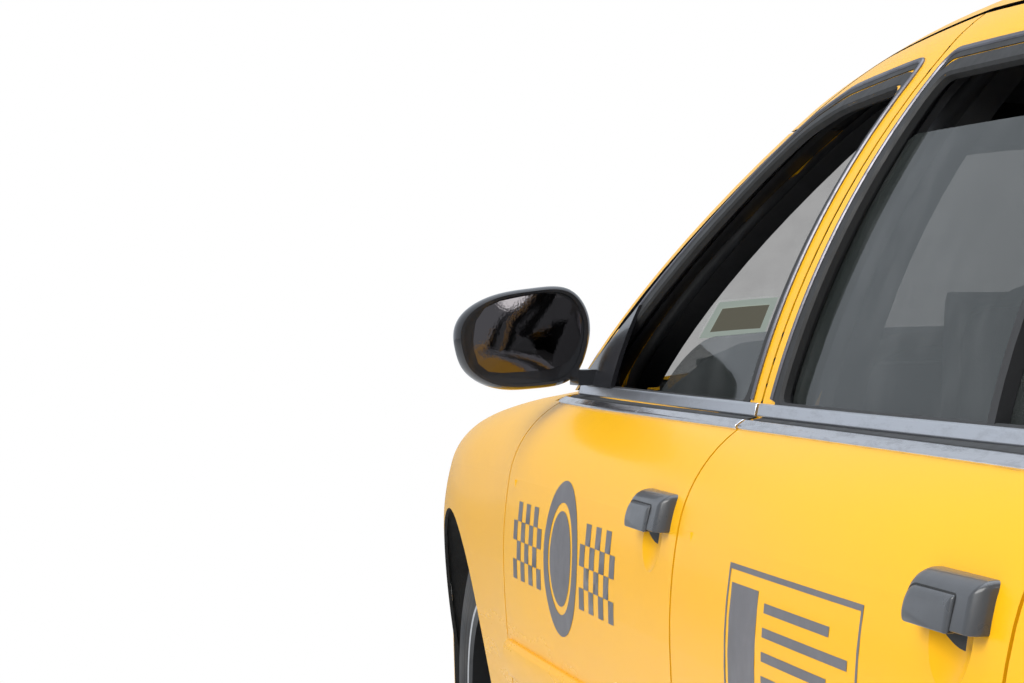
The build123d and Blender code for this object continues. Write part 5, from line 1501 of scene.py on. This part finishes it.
@dataclass
class Seats:
    """Padded seats: two front seats with head restraints and a rear bench, in place of the CAD blocks."""

    palette: Palette
    steps: int = 30
    cord: float = 0.0035

    def cushion(self, shape: CushionShape, fill: float) -> bpy.types.Object:
        """Crowned closed pad with sewn channels.

        Args:
            shape: place and size of the pad.
            fill: how full it is stuffed; not used.

        Returns:
            The object.
        """
        along, wide, deep = shape.axes()
        middle = Vector(shape.middle)
        draft = Draft(shape.name)
        wide_steps = int(self.steps * shape.half_wide / 0.25)
        long_steps = int(self.steps * shape.half_long / 0.25)
        for face in (1, -1):
            rows: list[list[Vector]] = []
            for i in range(long_steps + 1):
                u = -math.cos(math.pi * i / long_steps) * 0.35 + (2 * i / long_steps - 1) * 0.65
                row: list[Vector] = []
                for j in range(wide_steps + 1):
                    v = -math.cos(math.pi * j / wide_steps) * 0.25 + (2 * j / wide_steps - 1) * 0.75
                    edge = (1 - abs(u) ** 8) ** 0.4 * (1 - abs(v) ** 10) ** 0.4
                    crown = 0.80 + 0.20 * (1 - u * u) * (1 - 0.5 * v * v) if face > 0 else 0.86
                    groove = 0.0
                    if face > 0:
                        groove = sum(math.exp(-((v - s) / 0.022) ** 2) for s in shape.seams)
                        groove += sum(math.exp(-((u - s) / 0.022) ** 2) for s in shape.cross_seams
                                      if abs(v) < max((abs(k) for k in shape.seams), default=1.0))
                    lobe = 0.0
                    if face > 0 and shape.seams:
                        outer = abs(v) > max(abs(k) for k in shape.seams)
                        lobe = 0.010 if outer else 0.0
                    height = face * shape.half_deep * edge * crown
                    height += (lobe - 0.012 * min(1.0, groove)) * edge if face > 0 else 0.0
                    pull = 1.0 - 0.018 * (1 - v * v) * abs(u) ** 6
                    draw = 1.0 - 0.022 * (1 - u * u) * abs(v) ** 6
                    row.append(middle + along * (u * shape.half_long * pull)
                               + wide * (v * shape.half_wide * draw) + deep * height)
                rows.append(row if face > 0 else row[::-1])
            draft.grid(rows)
        obj = draft.finish(self.palette, "seat_vinyl", "body", 180.0, subdivide=1)
        return obj

    def piping(self, shape: CushionShape) -> None:
        """Sewn cord round the edge of a pad."""
        along, wide, deep = shape.axes()
        middle = Vector(shape.middle)
        a, b = shape.half_long * 0.955, shape.half_wide * 0.962
        loop = rounded_outline(((a, b), (-a, b), (-a, -b), (a, -b)), 0.05, 6)
        path = [middle + along * a + wide * b + deep * (shape.half_deep * 0.74) for a, b in loop]
        draft = Draft(f"{shape.name}_piping")
        section = [(self.cord * math.cos(t * math.pi / 4), self.cord * math.sin(t * math.pi / 4))
                   for t in range(8)]
        draft.sweep(path, [deep] * len(path), section, loop=True)
        draft.finish(self.palette, "seal_rubber", "body", 180.0)

    def build(self) -> None:
        """Make every pad, the shells behind them and the seat frames."""
        for side in Side:
            word, y = side.word, side.value * 0.395
            base = CushionShape(f"seat_cushion_{word}", (0.262, y, 0.536), 0.05, 0.265, 0.258, 0.056)
            back = CushionShape(f"seat_back_{word}", (-0.030, y, 0.810), math.radians(101.5),
                                0.285, 0.250, 0.054, cross_seams=(0.30,))
            rest = CushionShape(f"head_restraint_{word}", (-0.108, y, 1.165), math.radians(97),
                                0.062, 0.128, 0.042, seams=())
            for shape, fill in ((base, 0.8), (back, 0.8), (rest, 0.9)):
                obj = self.cushion(shape, fill)
                self.piping(shape)
                if shape is base and side is Side.LEFT:
                    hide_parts("front_seats")
            posts = Draft(f"head_restraint_posts_{word}")
            for offset in (-0.055, 0.055):
                posts.turned(Vector((-0.098, y + offset, 1.085)), Vector((-0.12, 0.0, 1.0)),
                             ((0.0, -0.03), (0.006, -0.03), (0.006, 0.06), (0.0, 0.06)), 12, closed=False)
            posts.finish(self.palette, "worn_chrome", "body", 40.0)
            shell = Draft(f"seat_shell_{word}")
            shell.block((0.035, 0.49, y - 0.215, y + 0.215, 0.245, 0.487))
            shell.finish(self.palette, "grained_black", "body", 30.0, bevel=0.02)
            rear = Draft(f"seat_back_shell_{word}")
            rows = []
            for x, z, half in ((-0.052, 0.500, 0.19), (-0.078, 0.560, 0.225), (-0.112, 0.86, 0.235),
                               (-0.140, 1.055, 0.215), (-0.128, 1.092, 0.17)):
                rows.append([Vector((x + 0.02 * abs(s) ** 4, y + half * s, z)) for s in
                             (i / 6 - 1 for i in range(13))])
            rear.grid(rows)
            rear.finish(self.palette, "grained_black", "body", 60.0, subdivide=1)
        bench = CushionShape("bench_cushion", (-0.690, 0.0, 0.520), 0.06, 0.262, 0.66, 0.060,
                             seams=(-0.34, 0.34))
        bench_back = CushionShape("bench_back", (-0.960, 0.0, 0.790), math.radians(104), 0.235, 0.64, 0.060,
                                  seams=(-0.34, 0.34), cross_seams=(0.35,))
        for shape in (bench, bench_back):
            obj = self.cushion(shape, 0.8)
            self.piping(shape)
            if shape is bench:
                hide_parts("rear_seat")
        plinth = Draft("bench_plinth")
        plinth.block((-0.90, -0.45, -0.52, 0.52, 0.245, 0.465))
        plinth.finish(self.palette, "grained_black", "body", 30.0, bevel=0.015)
        shelf = Draft("parcel_shelf")
        shelf.block((-1.42, -1.03, -0.60, 0.60, 0.962, 0.975))
        shelf.finish(self.palette, "grained_black", "body", 30.0, bevel=0.004)


@dataclass
class Lamps:
    """Reflector bowls and bulbs behind the headlamp covers."""

    palette: Palette
    face_x: float = 2.600
    z: float = 0.653

    def bowl(self, name: str, place: Vector, radius: float, deep: float, key: str) -> None:
        """Dished reflector facing forward.

        Args:
            name: piece name.
            place: middle of its open end.
            radius: radius of the open end.
            deep: depth.
            key: finish.
        """
        profile = [(radius, 0.0)]
        for step in range(1, 9):
            share = step / 8
            profile.append((radius * (1 - share ** 2.2), -deep * share ** 0.8))
        draft = Draft(name)
        draft.turned(place, FORWARD, profile, 32, closed=False)
        draft.finish(self.palette, key, "body", 60.0)

    def bulb(self, name: str, place: Vector, radius: float, key: str) -> None:
        """Small round-ended bulb."""
        profile = [(radius * math.sin(math.pi * t / 16), radius * 1.5 * math.cos(math.pi * t / 16))
                   for t in range(12)]
        draft = Draft(name)
        draft.turned(place, FORWARD, profile, 20, closed=False)
        draft.finish(self.palette, key, "body", 60.0)

    def build(self) -> None:
        """Make what is inside the lamps."""
        for side in Side:
            word, sign = side.word, side.value
            for index, y in enumerate((0.440, 0.560)):
                place = Vector((self.face_x - 0.020 - 0.030 * index, sign * y, self.z))
                self.bowl(f"headlamp_bowl_{index}_{word}", place, 0.046, 0.055, "brushed_ledge")
                self.bulb(f"headlamp_bulb_{index}_{word}", place - FORWARD * 0.035, 0.009, "white_plastic")
            self.bulb(f"turn_bulb_{word}", Vector((2.470, sign * 0.690, self.z)), 0.022, "lamp_amber")


@dataclass
class RearLampBands:
    """Clear and amber bands laid on the rear lamps, following their faces."""

    palette: Palette
    nodes: dict[str, bpy.types.Object]
    bands: tuple[tuple[str, float, float, str], ...] = (
        ("clear", 0.70, 0.735, "white_plastic"),
        ("amber", 0.80, 0.84, "lamp_amber"),
    )

    def build(self) -> None:
        """Make the bands by looking forward from behind the car."""
        for side in Side:
            tree = bvh_of([self.nodes[f"tail_lamp_{side.word}"]])
            low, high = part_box(f"tail_lamp_{side.word}")
            inner = min(abs(low[1]), abs(high[1])) + 0.012
            outer = inner + 0.105
            for name, z0, z1, key in self.bands:
                rows: list[list[Vector]] = []
                for r in range(3):
                    z = z0 + (z1 - z0) * r / 2
                    row: list[Vector] = []
                    for c in range(9):
                        y = side.value * (inner + (outer - inner) * c / 8)
                        hit, _, _, _ = tree.ray_cast(Vector((low[0] - 0.5, y, z)), FORWARD)
                        if hit is None:
                            hit, _, _, _ = tree.find_nearest(Vector((low[0], y, z)))
                        row.append(hit - FORWARD * 0.0008)
                    rows.append(row)
                draft = Draft(f"tail_lamp_{name}_{side.word}")
                draft.grid(rows)
                draft.finish(self.palette, key, "body", 80.0)


@dataclass
class Screen:
    """Wipers, interior mirror, sun visors, and the plain sticker low on the windscreen."""

    palette: Palette
    nodes: dict[str, bpy.types.Object]
    sticker: tuple[Point2, ...] = ((0.916, 0.648), (0.957, 0.538), (1.017, 0.656), (1.068, 0.530))
    mirror_z: float = 1.262

    def build(self) -> None:
        """Make the fittings round the windscreen."""
        tree = bvh_of([self.nodes["windscreen"]])

        def on_glass(x: float, y: float, lift: float) -> Vector:
            """Point off the glass, outward for a positive lift."""
            hit, normal, _, _ = tree.ray_cast(Vector((x, y, 2.0)), -UP)
            if hit is None:
                hit, normal, _, _ = tree.find_nearest(Vector((x, y, 1.0)))
            if normal.z < 0:
                normal = -normal
            return hit + normal * lift

        glass_up = Vector((0.35, 0.0, 0.94))
        for index, (y0, y1) in enumerate(((0.62, 0.06), (-0.02, -0.58))):
            blade = Draft(f"wiper_blade_{index}")
            across = [y0 + (y1 - y0) * i / 12 for i in range(13)]
            path = [on_glass(1.212 - 0.185 * y * y, y, 0.010) for y in across]
            blade.sweep(path, [glass_up] * 13, rounded_section(0.0045, -0.008, 0.008))
            blade.finish(self.palette, "seal_rubber", "body")
            arm = Draft(f"wiper_arm_{index}")
            middle = path[6]
            pivot = on_glass(1.250 - 0.185 * y1 * y1, y1 + 0.02, 0.012)
            arm.sweep([pivot, pivot.lerp(middle, 0.3) + UP * 0.006, middle + UP * 0.006], [glass_up] * 3,
                      rounded_section(0.007, -0.004, 0.005))
            arm.finish(self.palette, "satin_black", "body", bevel=0.001)
            cap = Draft(f"wiper_pivot_{index}")
            cap.turned(pivot, glass_up, ((0.0, 0.016), (0.010, 0.014), (0.014, 0.006), (0.014, -0.03),
                                         (0.0, -0.03)), 20, closed=False)
            cap.finish(self.palette, "satin_black", "body")
        top_left, top_right, foot_left, foot_right = (Vector(corner) for corner in self.sticker)

        def patch(margin: float, lift: float) -> list[list[Vector]]:
            """Net over the sticker, drawn in by a share of its size."""
            rows: list[list[Vector]] = []
            for r in range(4):
                down_share = margin * 1.6 + (1 - 3.2 * margin) * r / 3
                left, right = top_left.lerp(foot_left, down_share), top_right.lerp(foot_right, down_share)
                places = [left.lerp(right, margin + (1 - 2 * margin) * c / 5) for c in range(6)]
                rows.append([on_glass(place.x, place.y, lift) for place in places])
            return rows

        shade = Draft("screen_shade_band")
        edge = [(0.459 - 0.085 * y * y, y) for y in (-0.56 + 0.04 * c for c in range(29))]
        edge = [(0.470, -0.60), *edge, (0.470, 0.60)]
        shade.grid([[on_glass(x + 0.026 * r, y, -0.0065) for x, y in edge] for r in range(5)])
        shade.finish(self.palette, "seal_rubber", "body", 80.0)
        # The sticker and its field glow as painted light, from their finishes.
        sticker = Draft("screen_sticker")
        sticker.grid(patch(0.0, -0.0075))
        sticker.finish(self.palette, "sticker_edge", "body", 80.0)
        inset = Draft("screen_sticker_field")
        inset.grid(patch(0.11, -0.0085))
        inset.finish(self.palette, "sticker_field", "body", 80.0)
        mirror = Draft("interior_mirror")
        mirror.sweep([Vector((0.545, -0.12 + 0.24 * i / 8, self.mirror_z)) for i in range(9)],
                     [Vector((-1.0, 0.0, 0.12))] * 9, rounded_section(0.032, -0.014, 0.012, 0.5))
        mirror.finish(self.palette, "gloss_black", "body", bevel=0.006)
        face = Draft("interior_mirror_glass")
        ring = rounded_outline(((0.108, 0.024), (-0.108, 0.024), (-0.108, -0.024), (0.108, -0.024)), 0.02, 5)
        points = [Vector((0.5312, y, self.mirror_z + z)) for y, z in ring]
        face.add([*points, Vector((0.531, 0.0, self.mirror_z))],
                 [(i, (i + 1) % len(points), len(points)) for i in range(len(points))])
        face.finish(self.palette, "mirror_face", "body", 80.0)
        stem = Draft("interior_mirror_stem")
        stem.turned(Vector((0.548, 0.0, 1.268)), Vector((0.3, 0.0, 0.95)),
                    ((0.0, 0.0), (0.008, 0.0), (0.007, 0.085), (0.016, 0.095), (0.0, 0.095)), 16,
                    closed=False)
        stem.finish(self.palette, "gloss_black", "body")
        for side in Side:
            visor = Draft(f"sun_visor_{side.word}")
            y = side.value * 0.33
            path = [Vector((0.455, y - 0.19 + 0.38 * i / 8, 1.322 - 0.004 * abs(i - 4))) for i in range(9)]
            visor.sweep(path, [Vector((0.55, 0.0, -0.83))] * 9, rounded_section(0.062, -0.008, 0.008, 0.5))
            visor.finish(self.palette, "dash_plastic", "body", bevel=0.004, subdivide=1)


@dataclass
class DashFittings:
    """Hood over the instruments, vents, console and pedals."""

    palette: Palette

    def slab(self, name: str, span: Sequence[float], key: str, bevel: float = 0.006) -> None:
        """Box-shaped fitting with rounded edges."""
        draft = Draft(name)
        draft.block(span)
        draft.finish(self.palette, key, "body", 30.0, bevel=bevel)

    def build(self) -> None:
        """Make the fittings."""
        pad = Draft("dash_pad")
        rows: list[list[Vector]] = []
        for x, z in ((1.115, 0.985), (1.060, 1.010), (0.980, 1.024), (0.900, 1.026), (0.820, 1.014),
                     (0.768, 0.990), (0.744, 0.955), (0.738, 0.916)):
            row: list[Vector] = []
            for i in range(19):
                t = -1 + 2 * i / 18
                end = i in (0, 18)
                row.append(Vector((x, 0.715 * t, 0.916 if end else z - 0.012 * t ** 6)))
            rows.append(row)
        pad.grid(rows)
        pad.finish(self.palette, "dash_plastic", "body", 50.0, subdivide=1)
        hood = Draft("instrument_hood")
        rows: list[list[Vector]] = []
        for x, rise, wide in ((0.965, 0.006, 0.19), (0.900, 0.036, 0.20), (0.800, 0.052, 0.205),
                              (0.735, 0.050, 0.205), (0.715, 0.036, 0.200), (0.730, 0.020, 0.192)):
            row: list[Vector] = []
            for i in range(17):
                t = -1 + 2 * i / 16
                row.append(Vector((x + 0.02 * t * t, 0.395 + wide * t, 0.994 + rise * (1 - t ** 4) - 0.008)))
            rows.append(row)
        hood.grid(rows)
        hood.finish(self.palette, "dash_plastic", "body", 60.0, subdivide=1)
        self.slab("instrument_panel", (0.722, 0.760, 0.225, 0.565, 0.845, 0.985), "gloss_black")
        self.slab("centre_stack", (0.690, 0.745, -0.130, 0.130, 0.690, 0.900), "satin_black")
        self.slab("radio", (0.684, 0.700, -0.100, 0.100, 0.770, 0.825), "gloss_black", 0.003)
        self.slab("glove_lid", (0.712, 0.730, -0.600, -0.180, 0.690, 0.800), "grained_black")
        for index, y in enumerate((-0.62, -0.085, 0.085, 0.655)):
            self.slab(f"vent_{index}", (0.706, 0.722, y - 0.05, y + 0.05, 0.846, 0.888), "gloss_black", 0.004)
            slats = Draft(f"vent_slats_{index}")
            for level in range(4):
                z = 0.851 + level * 0.0105
                slats.block((0.7015, 0.712, y - 0.043, y + 0.043, z, z + 0.003))
            slats.finish(self.palette, "satin_black", "body", 30.0)
        for name, y, wide, z in (("brake_pedal", 0.36, 0.055, 0.40), ("throttle_pedal", 0.24, 0.028, 0.37)):
            self.slab(name, (0.905, 0.922, y - wide, y + wide, z - 0.035, z + 0.035), "seal_rubber")
            self.slab(f"{name}_arm", (0.918, 0.932, y - 0.009, y + 0.009, z, 0.60), "satin_black", 0.003)
        stalk = Draft("column_stalk")
        stalk.turned(Vector((0.640, 0.470, 0.815)), Vector((-0.25, 0.95, 0.15)),
                     ((0.0, -0.06), (0.006, -0.06), (0.0055, 0.05), (0.009, 0.06), (0.009, 0.10),
                      (0.0, 0.104)), 16, closed=False)
        stalk.finish(self.palette, "grained_black", "body")


@dataclass
class CabinLining:
    """Roof lining and carpets inside the cab."""

    palette: Palette
    nodes: dict[str, bpy.types.Object]

    def build(self) -> None:
        """Make the lining under the roof and the carpets on the floor."""
        tree = bvh_of([self.nodes["roof_panel"]])
        rows: list[list[Vector]] = []
        for i in range(15):
            x = 0.34 - 1.12 * i / 14
            row: list[Vector] = []
            for j in range(13):
                y = -0.56 + 1.12 * j / 12
                hit, _, _, _ = tree.ray_cast(Vector((x, y, 0.9)), UP)
                z = hit.z if hit else 1.36
                row.append(Vector((x, y, z - 0.006)))
            rows.append(row)
        lining = Draft("roof_lining")
        lining.grid(rows)
        lining.finish(self.palette, "lining_cloth", "body", 80.0)
        for side in Side:
            for name, x0, x1 in (("front", 0.12, 1.08), ("rear", -0.44, -0.03)):
                carpet = Draft(f"carpet_{name}_{side.word}")
                y0, y1 = sorted((side.value * 0.150, side.value * 0.760))
                carpet.block((x0, x1, y0, y1, 0.2602, 0.266))
                carpet.finish(self.palette, "carpet", "body", 30.0, bevel=0.002)


@dataclass
class SmallFittings:
    """Grille backing, roof light seat and fuel door line."""

    palette: Palette
    nodes: dict[str, bpy.types.Object]
    skins: dict[Side, BodySkin]

    def build(self) -> None:
        """Make the small outside fittings."""
        backing = Draft("grille_backing")
        backing.block((2.560, 2.564, -0.305, 0.305, 0.604, 0.702))
        backing.finish(self.palette, "satin_black", "body", 30.0)
        low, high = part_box("roof_light")
        seat = Draft("roof_light_seat")
        x0, x1, y1 = low[0] - 0.003, high[0] + 0.003, high[1] + 0.003
        ring = rounded_outline(((x1, y1), (x0, y1), (x0, -y1), (x1, -y1)), 0.042, 8)
        path: list[Vector] = []
        tree = bvh_of([self.nodes["roof_panel"]])
        for x, y in ring:
            hit, _, _, _ = tree.ray_cast(Vector((x, y, 2.0)), -UP)
            path.append(Vector((x, y, (hit.z if hit else 1.475) + 0.001)))
        seat.sweep(path, [UP] * len(path), rounded_section(0.006, -0.003, 0.014), loop=True)
        seat.finish(self.palette, "seal_rubber", "body", 40.0)
        skin = self.skins[Side.LEFT]
        door = rounded_outline(((-1.50, 0.86), (-1.65, 0.86), (-1.65, 0.72), (-1.50, 0.72)), 0.02, 5)
        path, outs = skin.line([*door, door[0]], 0.02)
        line = Draft("fuel_door_line")
        section = [(-0.0016, -0.004), (0.0016, -0.004), (0.0016, 0.0003), (-0.0016, 0.0003)]
        line.sweep(path[:-1], outs[:-1], section, loop=True)
        line.finish(self.palette, "seal_rubber", "body", 40.0)


@dataclass
class Studio:
    """Pale floor and backdrop, soft lights, and the camera at the photo's angle."""

    camera_place: tuple[float, float, float] = (-3.0481, 1.7458, 1.0749)
    yaw: float = math.radians(10.92)
    pitch: float = math.radians(0.62)
    roll: float = math.radians(-1.69)
    lens: float = 91.1

    @staticmethod
    def emptied(owner: bpy.types.Material | bpy.types.World) -> bpy.types.NodeTree:
        """Node tree of a material or world with nothing in it."""
        owner.use_nodes = True
        owner.node_tree.nodes.clear()
        return owner.node_tree

    def white(self) -> bpy.types.Material:
        """Pale floor that the camera sees as plain white."""
        material = bpy.data.materials.new("studio_white")
        tree = self.emptied(material)
        out = tree.nodes.new("ShaderNodeOutputMaterial")
        plain = tree.nodes.new("ShaderNodeBsdfDiffuse")
        plain.inputs["Color"].default_value = (0.82, 0.82, 0.81, 1.0)
        bright = tree.nodes.new("ShaderNodeEmission")
        bright.inputs["Color"].default_value = (1.0, 1.0, 1.0, 1.0)
        path = tree.nodes.new("ShaderNodeLightPath")
        blend = tree.nodes.new("ShaderNodeMixShader")
        tree.links.new(path.outputs["Is Camera Ray"], blend.inputs[0])
        tree.links.new(plain.outputs[0], blend.inputs[1])
        tree.links.new(bright.outputs[0], blend.inputs[2])
        tree.links.new(blend.outputs[0], out.inputs["Surface"])
        return material

    def world(self) -> None:
        """Even pale surroundings, white to the camera."""
        world = bpy.data.worlds.new("surroundings")
        tree = self.emptied(world)
        out = tree.nodes.new("ShaderNodeOutputWorld")
        sky = tree.nodes.new("ShaderNodeBackground")
        sky.inputs["Color"].default_value = (0.80, 0.86, 0.95, 1.0)
        plain = tree.nodes.new("ShaderNodeBackground")
        plain.inputs["Color"].default_value = (1.0, 1.0, 1.0, 1.0)
        path = tree.nodes.new("ShaderNodeLightPath")
        shine = tree.nodes.new("ShaderNodeMath")
        shine.operation = "MULTIPLY_ADD"
        shine.inputs[1].default_value = 0.2
        shine.inputs[2].default_value = 0.5
        tree.links.new(path.outputs["Is Glossy Ray"], shine.inputs[0])
        tree.links.new(shine.outputs[0], sky.inputs["Strength"])
        seen = tree.nodes.new("ShaderNodeMath")
        seen.operation = "MAXIMUM"
        tree.links.new(path.outputs["Is Camera Ray"], seen.inputs[0])
        tree.links.new(path.outputs["Is Transmission Ray"], seen.inputs[1])
        blend = tree.nodes.new("ShaderNodeMixShader")
        tree.links.new(seen.outputs[0], blend.inputs[0])
        tree.links.new(sky.outputs[0], blend.inputs[1])
        tree.links.new(plain.outputs[0], blend.inputs[2])
        tree.links.new(blend.outputs[0], out.inputs["Surface"])
        bpy.context.scene.world = world

    def light(self, name: str, place: Sequence[float], aim: Sequence[float], size: tuple[float, float],
              power: float, colour: Colour) -> None:
        """One soft area light."""
        data = bpy.data.lights.new(name, "AREA")
        data.shape = "RECTANGLE"
        data.size, data.size_y = size
        data.energy = power
        data.color = colour
        obj = bpy.data.objects.new(name, data)
        bpy.context.scene.collection.objects.link(obj)
        obj.location = place
        obj.rotation_euler = (Vector(aim) - Vector(place)).to_track_quat("-Z", "Y").to_euler()

    def camera(self) -> None:
        """Camera behind the left rear corner, looking forward along the side."""
        flat = math.cos(self.pitch)
        forward = Vector((math.cos(self.yaw) * flat, -math.sin(self.yaw) * flat, -math.sin(self.pitch)))
        right = forward.cross(UP).normalized()
        up = right.cross(forward)
        cosine, sine = math.cos(self.roll), math.sin(self.roll)
        turned_right = right * cosine + up * sine
        turned_up = up * cosine - right * sine
        data = bpy.data.cameras.new("camera")
        data.sensor_width = 36.0
        data.lens = self.lens
        data.clip_end = 200.0
        obj = bpy.data.objects.new("camera", data)
        bpy.context.scene.collection.objects.link(obj)
        turn = Matrix((turned_right, turned_up, -forward)).transposed()
        obj.matrix_world = Matrix.Translation(Vector(self.camera_place)) @ turn.to_4x4()
        bpy.context.scene.camera = obj

    def build(self) -> None:
        """Make the floor, the surroundings, the lights and the camera."""
        draft = bpy.data.meshes.new("floor")
        reach = 30.0
        corners = [(x * reach, y * reach, 0.0) for x, y in ((-1, -1), (1, -1), (1, 1), (-1, 1))]
        draft.from_pydata(corners, [], [(0, 1, 2, 3)])
        draft.materials.append(self.white())
        floor = bpy.data.objects.new("floor", draft)
        bpy.context.scene.collection.objects.link(floor)
        self.world()
        self.light("key", (-2.5, 5.5, 4.2), (0.2, 0.6, 0.7), (5.0, 3.0), 290.0, (1.0, 0.98, 0.94))
        self.light("sky", (0.5, 0.5, 5.5), (0.3, 0.3, 0.6), (6.0, 5.0), 200.0, (0.86, 0.92, 1.0))
        self.light("rear", (-6.0, -1.5, 3.0), (0.0, 0.0, 0.8), (3.0, 2.0), 80.0, (0.95, 0.97, 1.0))
        self.camera()
        bpy.context.scene.view_settings.view_transform = "Standard"
        bpy.context.scene.view_settings.look = "None"
        log.info("studio set")


def main() -> None:
    """Dress the car and set the studio."""
    nodes = frame["nodes"]
    palette = Palette()
    skins = {side: BodySkin(nodes, side) for side in Side}
    BodyShell(nodes, palette).build()
    BeltTrim(palette, skins).build()
    WindowSurrounds(palette, skins).build()
    BodyMoulding(palette, skins).build()
    DoorHandle(palette, skins).build()
    DoorMarks(palette, skins).build()
    PostCovers(palette, nodes).build()
    ArchLiners(palette, skins).build()
    MirrorGlass(palette).build()
    RoadWheels(palette, nodes).build()
    DoorCards(palette, nodes).build()
    Seats(palette).build()
    DashFittings(palette).build()
    CabinLining(palette, nodes).build()
    Screen(palette, nodes).build()
    Lamps(palette).build()
    RearLampBands(palette, nodes).build()
    SmallFittings(palette, nodes, skins).build()
    Studio().build()


if __name__ == "__main__":
    logging.basicConfig(level=logging.INFO, format="%(message)s")
    main()
